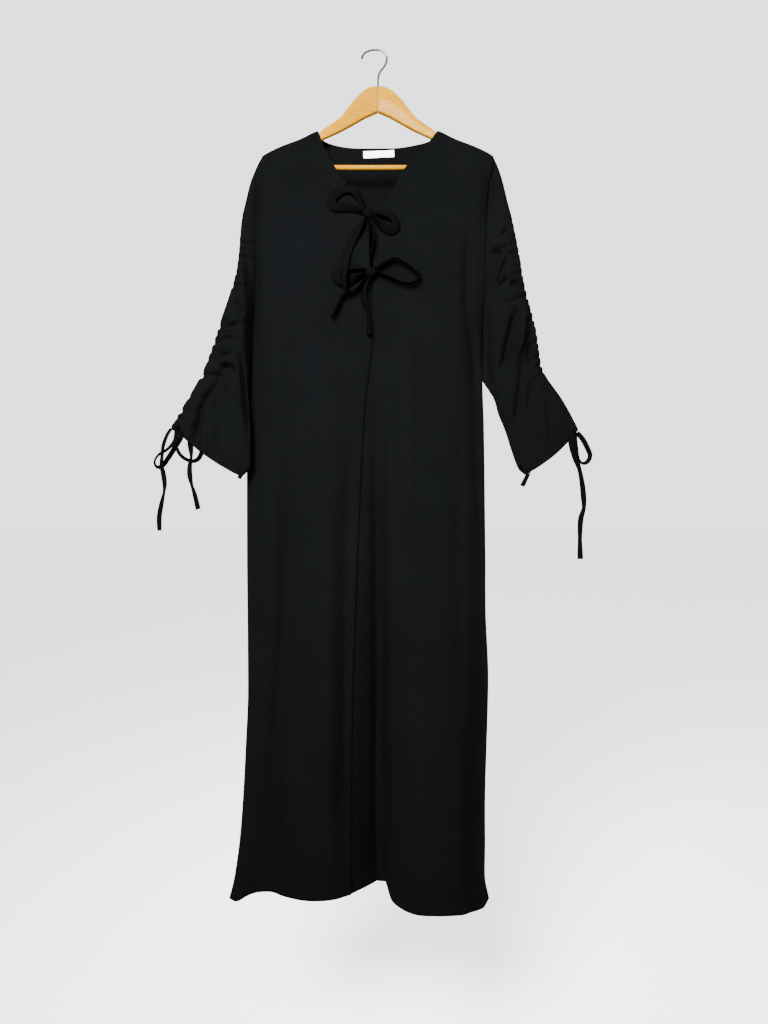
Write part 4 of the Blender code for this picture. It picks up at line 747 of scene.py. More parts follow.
# Stitching: a stitch's pitch as a share of its length, the thread, where each hem's row starts and ends,
# and the drawstring channel's row, which runs between two shares of the sleeve's length.
STITCH_PITCH = 1.5
STITCH_SKIP = 3
THREAD_RADIUS = 0.00022
HEM_FROM = -0.262
HEM_TO = 0.199
HEM_SPLIT_X = -0.050
HEM_STEPS = 80
BACK_HEM_FROM = -0.255
BACK_HEM_TO = 0.192
BACK_HEM_STEPS = 60
BACK_HEM_LIFT = 0.004
CHANNEL_FROM = 0.20
CHANNEL_TO = 0.985
CHANNEL_STEPS = 60
CHANNEL_WIDTH = 0.009

# Patterns, in repeats a metre. Wear shows as patches about 110 mm across, and the crepe's grain is drawn
# out 2.2 times lengthwise. The wood's growth lines are 4 mm apart and 90 mm long, its pores 0.4 by 8 mm,
# the wire's rubbing marks 1 mm, and the thread's twist 0.25 mm. The ribs are in metres.
WEAR_SCALE = 9.0
CREPE_STRETCH = (1.0, 1.0, 0.45)
GROWTH_SCALE = (240.0, 11.0, 1.0)
PORE_SCALE = (2600.0, 120.0, 1.0)
RUB_SCALE = 900.0
TWIST_SCALE = 4000.0
TAPE_RIB = 0.0009
LABEL_RIB = 0.0004
# A woven strip's threads are this many ribs apart, and its darkest and lightest threads are these shares of
# its colour, up to the palest.
THREAD_SPACING = 1.4
THREAD_SHADES = (0.78, 1.22)
THREAD_PALEST = 0.9
# Shares of the cloth's colour where it is worn and where it is fresh, the painted shade between the crepe's pebbles,
# and the darker colour in the wood's pores; the last two multiply the colours.
CREPE_SHADES = (0.62, 0.92)
CREPE_PAINTED_SHADE = (0.10, 0.10, 0.10, 1.0)
WOOD_PORE = (0.88, 0.84, 0.78, 1.0)
# Blender's wave texture runs through this many radians a unit at scale 1. Its Mix node's colour sockets are
# found by number, because other sockets of that node have their names too.
WAVE_RADIANS = 20
MIX_A, MIX_B, MIX_RESULT = 6, 7, 2

# The view that the photograph was taken from, level and 1.55 m in front of the hook, and its light.
CAMERA_SPOT = (0.0112, -1.55, -0.8624)
CAMERA_SENSOR = 36.0
CAMERA_LENS = 29.145
FLOOR_Z = -1.95
FLOOR_HALF = 60.0
AIR_STRENGTH = 2.5
LampRow = namedtuple("LampRow", "name spot aim size power spread_deg")
LAMPS = named_rows(
    LampRow,
    ("key", (-0.60, -2.1, 0.40), (0.0, 0.0, -0.70), 1.0, 105.0, 68),
    ("fill", (1.8, -2.0, -0.2), (0.0, 0.0, -0.8), 1.8, 22.0, 180),
    ("rim", (0.6, 1.6, 1.0), (0.0, 0.0, -0.6), 1.2, 25.0, 180),
)


def linear(code):
    """A colour's #rrggbb code as the linear numbers that materials take."""
    parts = [int(code[k:k + 2], 16) / 255 for k in (1, 3, 5)]
    return tuple(c / 12.92 if c <= 0.04045 else ((c + 0.055) / 1.055) ** 2.4 for c in parts)


class KimonoSettings(bpy.types.PropertyGroup):
    """Sizes and colours of the kimono and its hanger."""

    cloth_wall: FloatProperty(
        name="Cloth thickness", description="Thickness of the crepe",
        default=0.0008, unit="LENGTH", precision=5,
    )
    tape_wall: FloatProperty(
        name="Tape thickness", description="Thickness of the bows' tape",
        default=0.0009, unit="LENGTH", precision=5,
    )
    tie_wall: FloatProperty(
        name="Drawstring thickness", description="Thickness of the cuffs' drawstrings",
        default=0.0019, unit="LENGTH", precision=5,
    )
    bow_tape: FloatProperty(
        name="Bow tape width", description="Width of the bows' tape",
        default=0.016, unit="LENGTH", precision=4,
    )
    cuff_tape: FloatProperty(
        name="Cuff tape width", description="Width of the drawstrings",
        default=0.0102, unit="LENGTH", precision=4,
    )
    hem_turn: FloatProperty(
        name="Hem turn-up", description="How far the hem is turned up",
        default=0.020, unit="LENGTH", precision=4,
    )
    stitch: FloatProperty(
        name="Stitch length", description="Length of a machine stitch",
        default=0.0026, unit="LENGTH", precision=4,
    )
    pebble: FloatProperty(
        name="Crepe grain", description="Size of the crepe's grain",
        default=0.0008, unit="LENGTH", precision=5,
    )
    crepe_colour: FloatVectorProperty(
        name="Crepe", description="Colour of the cloth",
        default=linear("#090a0b"), subtype="COLOR", size=3,
    )
    tape_colour: FloatVectorProperty(
        name="Tape", description="Colour of the ties",
        default=linear("#030303"), subtype="COLOR", size=3,
    )
    label_colour: FloatVectorProperty(
        name="Label", description="Colour of the neck label",
        default=linear("#f1f1ee"), subtype="COLOR", size=3,
    )
    wood_light: FloatVectorProperty(
        name="Light grain", description="Wood between the grain lines",
        default=linear("#7c5600"), subtype="COLOR", size=3,
    )
    wood_dark: FloatVectorProperty(
        name="Dark grain", description="Wood in the grain lines",
        default=linear("#6f4b00"), subtype="COLOR", size=3,
    )
    pale: FloatVectorProperty(
        name="Surroundings", description="Colour of the floor and air",
        default=linear("#fbfbfc"), subtype="COLOR", size=3,
    )


def settings():
    """The sizes and colours that a user can change."""
    return bpy.context.scene.kimono


def eased(value):
    """0 to 1 with soft ends."""
    value = min(max(value, 0.0), 1.0)
    return value * value * (3 - 2 * value)


def mixed(a, b, share):
    """The value that share of the way from a to b."""
    return a + (b - a) * share


COLUMNS = {}


def read(table, key, name):
    """A column's value where the table's first column is key, on a smooth curve through the rows."""
    held = (id(table), name)
    if held not in COLUMNS:
        keys, values = [row[0] for row in table], [getattr(row, name) for row in table]
        last = len(keys) - 1
        slopes = []
        for k in range(last + 1):
            low, high = max(k - 1, 0), min(k + 1, last)
            slopes.append((values[high] - values[low]) / (keys[high] - keys[low]))
        COLUMNS[held] = keys, values, slopes
    keys, values, slopes = COLUMNS[held]
    if key <= keys[0]:
        return values[0]
    if key >= keys[-1]:
        return values[-1]
    i = bisect.bisect_right(keys, key) - 1
    span = keys[i + 1] - keys[i]
    s = (key - keys[i]) / span
    ends = mixed(values[i], values[i + 1], eased(s))
    return ends + span * s * (1 - s) * (slopes[i] * (1 - s) - slopes[i + 1] * s)


def finer(values, parts):
    """The list with each step split into equal parts."""
    out = [values[0]]
    for a, b in zip(values, values[1:]):
        out += [mixed(a, b, (k + 1) / parts) for k in range(parts)]
    return out


def stepped(values, step):
    """The list with each step split so that no part is longer than step."""
    out = [values[0]]
    for a, b in zip(values, values[1:]):
        parts = max(math.ceil(abs(b - a) / step - ROUNDING), 1)
        out += [mixed(a, b, (k + 1) / parts) for k in range(parts)]
    return out


def line_length(points):
    """Length of the line through the points."""
    return sum((b - a).length for a, b in zip(points, points[1:]))


def smooth_path(rows, count):
    """Points at even steps of length along a smooth curve through the rows, which may have any columns."""
    dense = []
    for i in range(len(rows) - 1):
        before, a = Vector(rows[max(i - 1, 0)]), Vector(rows[i])
        b, after = Vector(rows[i + 1]), Vector(rows[min(i + 2, len(rows) - 1)])
        for k in range(PATH_FINE):
            s = k / PATH_FINE
            dense.append(
                0.5 * (2 * a + (b - before) * s + (2 * before - 5 * a + 4 * b - after) * s * s
                       + (3 * a - before - 3 * b + after) * s ** 3)
            )
    dense.append(Vector(rows[-1]))
    lengths = [0.0]
    for a, b in zip(dense, dense[1:]):
        lengths.append(lengths[-1] + (b - a).to_3d().length)
    points = []
    for k in range(count + 1):
        at = lengths[-1] * k / count
        i = min(max(bisect.bisect_right(lengths, at) - 1, 0), len(dense) - 2)
        share = (at - lengths[i]) / (lengths[i + 1] - lengths[i])
        points.append(dense[i].lerp(dense[i + 1], min(share, 1.0)))
    return points


def add_node(tree, kind, inputs=None, stops=(), **facts):
    """Adds a node. An input's value is a number, a colour or another node's output. A ramp has stops."""
    node = tree.nodes.new(kind)
    for name, value in facts.items():
        setattr(node, name, value)
    for name, value in (inputs or {}).items():
        if isinstance(value, bpy.types.NodeSocket):
            tree.links.new(value, node.inputs[name])
        else:
            node.inputs[name].default_value = value
    for k, (place, colour) in enumerate(stops):
        node.color_ramp.elements[k].position = place
        node.color_ramp.elements[k].color = (*colour, 1.0)
    return node


def blank_material(name, **values):
    """A material with one Principled shader, whose sockets take the values by name."""
    made = bpy.data.materials.new(name)
    made.use_nodes = True
    shader = made.node_tree.nodes["Principled BSDF"]
    for key, value in values.items():
        shader.inputs[key.replace("_", " ")].default_value = value
    return made, made.node_tree, shader


def feed(tree, shader, **outputs):
    """Links outputs of nodes to the shader's sockets by name."""
    for key, output in outputs.items():
        tree.links.new(output, shader.inputs[key.replace("_", " ")])


def crepe_material():
    """Matt black crepe: a pebbled, slightly lengthwise grain, with faint wear in its colour and painted shade between
    its pebbles.
    """
    s = settings()
    made, tree, shader = blank_material(
        "black_crepe", Sheen_Weight=0.001, Sheen_Roughness=0.5, Sheen_Tint=(0.80, 0.86, 1.0, 1.0),
        Specular_IOR_Level=0.0)
    where = add_node(tree, "ShaderNodeTexCoord").outputs["Object"]
    grain = add_node(tree, "ShaderNodeMapping", {"Vector": where, "Scale": CREPE_STRETCH}).outputs["Vector"]
    pebbles = add_node(
        tree, "ShaderNodeTexNoise",
        {"Vector": grain, "Scale": 1 / s.pebble, "Detail": 3.0, "Roughness": 0.62}).outputs["Fac"]
    patches = add_node(
        tree, "ShaderNodeTexNoise", {"Vector": where, "Scale": WEAR_SCALE, "Detail": 3.0}).outputs["Fac"]
    worn, fresh = ([c * share for c in s.crepe_colour] for share in CREPE_SHADES)
    colours = add_node(tree, "ShaderNodeValToRGB", {"Fac": patches}, ((0.0, worn), (1.0, fresh)))
    # The pebbles multiply the colour down: painted shade between the crepe's pebbles.
    shade = add_node(
        tree, "ShaderNodeMix", {"Factor": pebbles, MIX_A: colours.outputs["Color"], MIX_B: CREPE_PAINTED_SHADE},
        data_type="RGBA", blend_type="MULTIPLY")
    rough = add_node(tree, "ShaderNodeMapRange", {"Value": pebbles, "To Min": 0.68, "To Max": 0.90})
    bump = add_node(tree, "ShaderNodeBump", {"Height": pebbles, "Strength": 0.45, "Distance": 0.00022})
    feed(tree, shader, Base_Color=shade.outputs[MIX_RESULT], Roughness=rough.outputs["Result"],
         Normal=bump.outputs["Normal"])
    return made


def ribbed_material(name, colour, rib, sheen, gloss):
    """Woven tape or satin: fine ribs across the strip, from its UV in metres, and a change of shade."""
    made, tree, shader = blank_material(
        name, Sheen_Weight=sheen, Sheen_Roughness=0.4, Specular_IOR_Level=gloss)
    where = add_node(tree, "ShaderNodeTexCoord").outputs["UV"]
    wave = {"Vector": where, "Scale": math.tau / WAVE_RADIANS / rib, "Distortion": 0.4}
    ribs = add_node(tree, "ShaderNodeTexWave", wave, bands_direction="Y").outputs["Fac"]
    thread = {"Vector": where, "Scale": 1 / (rib * THREAD_SPACING), "Detail": 2.0}
    threads = add_node(tree, "ShaderNodeTexNoise", thread).outputs["Fac"]
    height = add_node(tree, "ShaderNodeMath", {0: ribs, 1: threads}, operation="ADD").outputs["Value"]
    dark, light = ([min(c * share, THREAD_PALEST) for c in colour] for share in THREAD_SHADES)
    colours = add_node(tree, "ShaderNodeValToRGB", {"Fac": threads}, ((0.0, dark), (1.0, light)))
    rough = add_node(tree, "ShaderNodeMapRange", {"Value": ribs, "To Min": 0.58, "To Max": 0.80})
    bump = add_node(tree, "ShaderNodeBump", {"Height": height, "Strength": 0.5, "Distance": 0.00018})
    feed(tree, shader, Base_Color=colours.outputs["Color"], Roughness=rough.outputs["Result"],
         Normal=bump.outputs["Normal"])
    return made


def wood_material():
    """Clear-varnished pale wood: long grain along each arm, from its UV in metres, under a gloss coat."""
    s = settings()
    made, tree, shader = blank_material(
        "varnished_wood", Coat_Weight=0.03, Coat_Roughness=0.14, Roughness=0.45, Specular_IOR_Level=0.0)
    where = add_node(tree, "ShaderNodeTexCoord").outputs["UV"]
    along = add_node(tree, "ShaderNodeMapping", {"Vector": where, "Scale": GROWTH_SCALE}).outputs["Vector"]
    growth = {"Vector": along, "Scale": 1.0, "Detail": 5.0, "Distortion": 0.6}
    grain = add_node(tree, "ShaderNodeTexNoise", growth).outputs["Fac"]
    pores = add_node(tree, "ShaderNodeMapping", {"Vector": where, "Scale": PORE_SCALE}).outputs["Vector"]
    pore = {"Vector": pores, "Scale": 1.0, "Detail": 2.0}
    fine = add_node(tree, "ShaderNodeTexNoise", pore).outputs["Fac"]
    stops = (0.36, s.wood_dark), (0.58, s.wood_light)
    colours = add_node(tree, "ShaderNodeValToRGB", {"Fac": grain}, stops)
    shade = add_node(
        tree, "ShaderNodeMix", {"Factor": fine, MIX_A: colours.outputs["Color"], MIX_B: WOOD_PORE},
        data_type="RGBA", blend_type="MULTIPLY")
    bump = add_node(tree, "ShaderNodeBump", {"Height": fine, "Strength": 0.12, "Distance": 0.00008})
    feed(tree, shader, Base_Color=shade.outputs[MIX_RESULT], Normal=bump.outputs["Normal"])
    return made


def chrome_material():
    """Chromed steel wire, with fine rubbing marks that vary its gloss."""
    made, tree, shader = blank_material(
        "chromed_wire", Metallic=1.0, Base_Color=(0.050, 0.050, 0.055, 1.0),
        Specular_Tint=(0.10, 0.10, 0.11, 1.0))
    where = add_node(tree, "ShaderNodeTexCoord").outputs["Object"]
    marks = add_node(
        tree, "ShaderNodeTexNoise", {"Vector": where, "Scale": RUB_SCALE, "Detail": 4.0}).outputs["Fac"]
    rough = add_node(tree, "ShaderNodeMapRange", {"Value": marks, "To Min": 0.08, "To Max": 0.24})
    bump = add_node(tree, "ShaderNodeBump", {"Height": marks, "Strength": 0.06, "Distance": 0.00005})
    feed(tree, shader, Roughness=rough.outputs["Result"], Normal=bump.outputs["Normal"])
    return made


def thread_material():
    """Black sewing thread, with its twist as a slight change of shade."""
    made, tree, shader = blank_material("black_thread", Roughness=0.6, Specular_IOR_Level=0.0)
    where = add_node(tree, "ShaderNodeTexCoord").outputs["Object"]
    twist = add_node(
        tree, "ShaderNodeTexNoise", {"Vector": where, "Scale": TWIST_SCALE, "Detail": 1.0}).outputs["Fac"]
    stops = (0.0, linear("#040405")), (1.0, linear("#060607"))
    colours = add_node(tree, "ShaderNodeValToRGB", {"Fac": twist}, stops)
    feed(tree, shader, Base_Color=colours.outputs["Color"])
    return made


def finish(name):
    """The material of that name, made when it is first asked for."""
    s = settings()
    makers = {
        "black_crepe": crepe_material,
        "black_tape": lambda: ribbed_material("black_tape", tuple(s.tape_colour), TAPE_RIB, 0.0, 0.0),
        "white_label": lambda: ribbed_material("white_label", tuple(s.label_colour), LABEL_RIB, 0.1, 0.3),
        "varnished_wood": wood_material,
        "chromed_wire": chrome_material,
        "black_thread": thread_material,
    }
    return bpy.data.materials.get(name) or makers[name]()


def add_piece(name, shape, look, slot, nodes):
    """A new piece: it rides on the one body, takes a slot's finish and stands for its CAD nodes."""
    obj = bpy.data.objects.new(name, shape)
    bpy.context.scene.collection.objects.link(obj)
    shape.materials.append(finish(look))
    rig.ride(obj, "root")
    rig.slot(obj, slot)
    if nodes:
        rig.replaces(obj, *nodes)
    return obj


def mesh_from(name, bm):
    """A smooth-shaded mesh from a bmesh, which is freed."""
    mesh = bpy.data.meshes.new(name)
    bm.to_mesh(mesh)
    bm.free()
    mesh.shade_smooth()
    return mesh


def grid_mesh(name, columns, rows, place, closed=False):
    """A grid whose points place(column, row) sets, with a UV in metres. A closed one is a tube."""
    spots = [[place(c % columns if closed else c, r) for c in range(columns + 1)] for r in range(rows + 1)]
    across, along = [0.0], [0.0]
    middle_row, middle = spots[rows // 2], columns // 2
    for a, b in zip(middle_row, middle_row[1:]):
        across.append(across[-1] + (b - a).length)
    for a, b in zip(spots, spots[1:]):
        along.append(along[-1] + (b[middle] - a[middle]).length)
    bm = bmesh.new()
    bmesh.ops.create_grid(bm, x_segments=columns, y_segments=rows, size=1.0)
    layer = bm.loops.layers.uv.new("metres")
    for vert in bm.verts:
        c, r = round((vert.co.x + 1) / 2 * columns), round((vert.co.y + 1) / 2 * rows)
        for loop in vert.link_loops:
            loop[layer].uv = across[c], along[r]
        vert.co = spots[r][c]
    if closed:
        bmesh.ops.remove_doubles(bm, verts=bm.verts, dist=WELD)
    bmesh.ops.recalc_face_normals(bm, faces=bm.faces)
    return mesh_from(name, bm)


def add_wall(obj, thickness):
    """Gives a sheet its thickness, half to either side."""
    wall = obj.modifiers.new("wall", "SOLIDIFY")
    wall.thickness = thickness
    wall.offset = 0.0


def cloth_piece(name, mesh, cut):
    """A panel or sleeve of crepe, with its wall and its cut."""
    obj = add_piece(f"{name}_cloth", mesh, "black_crepe", "crepe", [name])
    add_wall(obj, settings().cloth_wall)
    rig.sheet(obj, flat=(cut.width, cut.length), held="hung", area=cut.area)
    return obj


def arm_y(x):
    """Depth of the hanger's middle: its arms sweep forward towards their ends."""
    return -ARM_SWEEP * abs(x)


def shoulder_z(x):
    """Height of the ridge that the shoulders hang over."""
    return -read(SHOULDER, abs(x), "down")


def wrapped(d):
    """How far cloth that leaves the hanger's top ridge has gone forward or back after dropping by d."""
    if d >= ARM_WRAP:
        return ARM_WRAP
    return math.sqrt(max(ARM_WRAP**2 - (ARM_WRAP - d) ** 2, 0.0))


def settled(d):
    """0 where cloth lies on the arm, rising to 1 where it hangs freely below."""
    return eased((d - ARM_WRAP) / SETTLE_DROP)


def fold_depth(x, z, folds):
    """How far the skirt's lengthwise folds move the cloth away from the viewer there."""
    depth = 0.0
    for fold in folds:
        share = (-z - fold.down_top) / (SIDE_HEM_DOWN - fold.down_top)
        if share <= 0:
            continue
        away = x - mixed(fold.x_top, fold.x_hem, min(share, 1.0))
        spread = fold.spread_left if away < 0 else fold.spread_right
        depth += fold.depth * eased(share) * math.exp(-((away / spread) ** 2))
    return depth


CREASE_LINES = {}


def crease_lines(creases):
    """Each crease's bounds, and its line as steps of start, way along, squared length and length before."""
    if id(creases) not in CREASE_LINES:
        lines = []
        for crease in creases:
            steps, total = [], 0.0
            for a, b in zip(crease.spots, crease.spots[1:]):
                along = b.x - a.x, a.down - b.down
                squared = along[0] ** 2 + along[1] ** 2
                steps.append((a.x, -a.down, *along, squared, total))
                total += math.sqrt(squared)
            reach = BELL_REACH * crease.half_width
            xs, downs = [spot.x for spot in crease.spots], [spot.down for spot in crease.spots]
            bounds = min(xs) - reach, max(xs) + reach, -max(downs) - reach, -min(downs) + reach
            lines.append((bounds, crease, steps, total))
        CREASE_LINES[id(creases)] = lines
    return CREASE_LINES[id(creases)]


def crease_depth(x, z, creases):
    """How far the listed creases move the cloth away from the viewer there."""
    depth = 0.0
    for (left, right, low, high), crease, steps, total in crease_lines(creases):
        if not (left < x < right and low < z < high):
            continue
        best, at = (BELL_REACH * crease.half_width) ** 2, 0.0
        for start_x, start_z, along_x, along_z, squared, before in steps:
            share = ((x - start_x) * along_x + (z - start_z) * along_z) / squared
            share = min(max(share, 0.0), 1.0)
            away = (x - start_x - along_x * share) ** 2 + (z - start_z - along_z * share) ** 2
            if away < best:
                best, at = away, before + share * math.sqrt(squared)
        ends = eased(at / total / CREASE_END) * eased((1 - at / total) / CREASE_END)
        depth += crease.depth * ends * math.exp(-best / crease.half_width**2)
    return depth


def waves(x, z, y=0.0, rows=CLOTH_WAVES):
    """Soft unevenness that any hanging cloth has."""
    return sum(row.height * noise.noise(Vector((x / row.across, y, z / row.down))) for row in rows)


def side_x(z, side):
    """x of the armhole's edge or, below the underarm, of the side seam."""
    return read(SIDES, -z, SIDE_NAMES[side])


def near_side(x, z, reach):
    """The nearer side, and 0 at its seam rising to 1 at that reach from it."""
    side = -1 if x < mixed(side_x(z, -1), side_x(z, 1), 0.5) else 1
    return side, eased(abs(x - side_x(z, side)) / reach)


def side_depth(z, side, edge):
    """Depth of a panel's outer edge: the armhole's above the underarm, the side seam's below it."""
    if -z < UNDERARM_DOWN:
        return read(DEPTHS, -z, edge)
    seam = read(SIDES, -z, f"y_{SIDE_NAMES[side]}")
    half = settings().cloth_wall / 2
    return seam + (-half if edge == "front_edge" else half)


def drawn_in(x, z, side):
    """How far the cloth in front sinks at the armhole's seam, where the sleeve's weight pulls it in."""
    if -z >= UNDERARM_DOWN:
        return 0.0
    room = read(DEPTHS, -z, "back_edge") - read(DEPTHS, -z, "front_edge")
    share = read(DRAWN_IN, -z, SIDE_NAMES[side])
    return room * share * math.exp(-(((x - side_x(z, side)) / DRAWN_SPREAD) ** 2))


def front_y(x, z):
    """Depth of the front cloth there."""
    side, inward = near_side(x, z, FRONT_SIDE_REACH)
    body = read(DEPTHS, -z, "front") + fold_depth(x, z, FRONT_FOLDS)
    shape = mixed(side_depth(z, side, "front_edge"), body, inward)
    soft = eased(inward * EDGE_CALM)
    return shape + (crease_depth(x, z, BODY_CREASES) + waves(x, z)) * soft + drawn_in(x, z, side)


def back_y(x, z):
    """Depth of the back cloth there."""
    side, inward = near_side(x, z, BACK_SIDE_REACH)
    middle = 1 - min(abs(x) / BACK_HALF, 1.0) ** 2
    body = mixed(read(DEPTHS, -z, "back_side"), read(DEPTHS, -z, "back_middle"), middle)
    body += fold_depth(x, z, BACK_FOLDS)
    soft = eased(inward * EDGE_CALM)
    relief = crease_depth(x, z, BACK_CREASES) + waves(x, z, BACK_WAVE_PLACE)
    return mixed(side_depth(z, side, "back_edge"), body, inward) - relief * soft


def over_shoulder(x, d, depth, way):
    """Depth of cloth that lies over the hanger's arm at its top and hangs at its own depth further down."""
    ridge = arm_y(x) + way * (HALF_RIDGE + wrapped(d))
    return mixed(ridge, depth, settled(d))


def column_top(fraction, line_x, outline):
    """Where a column of cloth meets the panel's top outline."""
    z = -NECK_POINT_DOWN
    for _ in range(COLUMN_TRIES):
        z = outline(line_x(fraction, z))
    return z


def hem_eased(share, hem, x):
    """How much further down a point goes so that its column ends on the hem's outline."""
    return eased((share - HEM_EASE_SHARE) / (1 - HEM_EASE_SHARE)) * (SIDE_HEM_DOWN - read(hem, x, "down"))


def hem_rise(drop_left, way):
    """The hem's doubled cloth stands a little prouder, and dips at its stitching."""
    turn = settings().hem_turn
    dip = math.exp(-(((drop_left - turn) / HEM_DIP_HALF) ** 2))
    stand = eased((turn - drop_left) / HEM_STAND_RUN)
    return way * settings().cloth_wall * (HEM_STAND * stand - HEM_DIP * dip)


def row_shares():
    """Each row's share of the way down a panel: through the armhole's own points, then in even steps."""
    total = SIDE_HEM_DOWN - ARMHOLE_TOP_DOWN
    drops = stepped([row.drop for row in ARMHOLE], ROW_STEP)
    return [drop / total for drop in drops[:-1]] + stepped([drops[-1] / total, 1.0], ROW_STEP / total)


def opening_x(z, side):
    """x of a front's own edge. The right front reaches under the left one."""
    x = read(OPENING, -z, "x")
    return x if side < 0 else x - read(OPENING, -z, "underlap")


def lap_lift(x, z):
    """How much further forward the left front lies, near its edge and below the neck."""
    from_edge = opening_x(z, -1) - x
    below_neck = eased((-z - LAP_TOP_DOWN) / LAP_TOP_SPAN)
    return LAP_LIFT * below_neck * (1 - eased((from_edge - LAP_WIDTH) / LAP_FADE))


def front_panel(side):
    """A front, from the hanger's ridge and the neck down to the hem."""
    neck_rows = FRONT_NECK_LEFT if side < 0 else FRONT_NECK_RIGHT
    shoulder, opening = side * SHOULDER_HALF, opening_x(-NECK_POINT_DOWN, side)
    neck = (shoulder - side * NECK_HALF) / (shoulder - opening)
    neck_shares = LEFT_NECK_SHARES if side < 0 else RIGHT_NECK_SHARES
    top_shares = [neck * k / SHOULDER_COLUMNS for k in range(SHOULDER_COLUMNS)]
    top_shares = finer(top_shares + [mixed(neck, 1.0, share) for share in neck_shares], COLUMN_PARTS)
    hem_shares = finer(LEFT_HEM_FRACTIONS if side < 0 else RIGHT_HEM_FRACTIONS, COLUMN_PARTS)
    shares = row_shares()
    on_arm = SHOULDER_COLUMNS * COLUMN_PARTS

    def outline(x):
        return shoulder_z(x) if abs(x) >= NECK_HALF else -read(neck_rows, x, "down")

    def line_x(share, z):
        return mixed(side_x(z, side), opening_x(z, side), share)

    tops = [column_top(share, line_x, outline) for share in top_shares]

    def place(column, row):
        top = tops[column]
        z = mixed(top, -SIDE_HEM_DOWN, shares[row])
        shift = eased((-z - COLUMN_SHIFT_DOWN) / COLUMN_SHIFT_SPAN)
        x = line_x(mixed(top_shares[column], hem_shares[column], shift), z)
        left = (SIDE_HEM_DOWN + top) * (1 - shares[row])
        z += hem_eased(shares[row], FRONT_HEM, x)
        depth = front_y(x, z) + hem_rise(left, -1)
        if side < 0:
            depth -= lap_lift(x, z)
        if column <= on_arm:
            depth = over_shoulder(x, top - z, depth, -1)
        return Vector((x, depth, z))

    name = f"front_{SIDE_NAMES[side]}"
    return cloth_piece(name, grid_mesh(name, len(top_shares) - 1, len(shares) - 1, place), CUTS[name])


def back_panel():
    """The back in one piece, from the hanger's ridge and the back neck down to the hem."""
    shares = row_shares()
    neck = (SHOULDER_HALF - NECK_HALF) / (2 * SHOULDER_HALF)
    columns = [neck * k / SHOULDER_COLUMNS for k in range(SHOULDER_COLUMNS)]
    columns += [mixed(neck, 1 - neck, share) for share in BACK_NECK_SHARES]
    columns += [1 - neck * (1 - (k + 1) / SHOULDER_COLUMNS) for k in range(SHOULDER_COLUMNS)]
    columns = finer(columns, COLUMN_PARTS)

    def outline(x):
        return shoulder_z(x) if abs(x) >= NECK_HALF else -read(BACK_NECK, x, "down")

    def line_x(share, z):
        return mixed(side_x(z, -1), side_x(z, 1), share)

    tops = [column_top(share, line_x, outline) for share in columns]

    def place(column, row):
        top = tops[column]
        z = mixed(top, -SIDE_HEM_DOWN, shares[row])
        x = line_x(columns[column], z)
        left = (SIDE_HEM_DOWN + top) * (1 - shares[row])
        z += hem_eased(shares[row], BACK_HEM, x)
        depth = back_y(x, z) + hem_rise(left, 1)
        if not neck + ROUNDING < columns[column] < 1 - neck - ROUNDING:
            depth = over_shoulder(x, top - z, depth, 1)
        return Vector((x, depth, z))

    return cloth_piece("back", grid_mesh("back", len(columns) - 1, len(shares) - 1, place), CUTS["back"])


def ring_ends(rows, t):
    """The outer and inner ends of a sleeve's ring, as x and z."""
    outer = Vector((read(rows, t, "outer_x"), -read(rows, t, "outer_down")))
    inner = Vector((read(rows, t, "inner_x"), -read(rows, t, "inner_down")))
    return outer, inner


def first_ring(rows, drop):
    """The straight line of the first ring, which the curved armhole departs from."""
    outer, inner = ring_ends(rows, 0.0)
    return outer.lerp(inner, drop / ARMHOLE[-1].drop)


def armhole_depth(drop, way, side):
    """Depth of the armhole's edge at one of its points, which the sleeve starts from."""
    if drop >= ARMHOLE[-1].drop:
        return read(SIDES, UNDERARM_DOWN, f"y_{SIDE_NAMES[side]}")
    arm = arm_y(SHOULDER_HALF) + way * wrapped(drop)
    edge = "front_edge" if way < 0 else "back_edge"
    return mixed(arm, read(DEPTHS, ARMHOLE_TOP_DOWN + drop, edge), settled(drop))


def gathered(down, inward, gathers):
    """How far a sleeve's edge is notched, and how deep its trough is, that far down and in from it."""
    notch, trough = 0.0, 0.0
    for row in gathers:
        away = (down - row.down - row.slope * inward) / row.half_width
        if abs(away) < BELL_REACH:
            bell = math.exp(-away * away)
            notch += row.notch * bell
            trough += row.depth * bell * math.exp(-((inward / row.reach) ** 2))
    return notch * math.exp(-((inward / GATHER_EDGE) ** 2)), trough


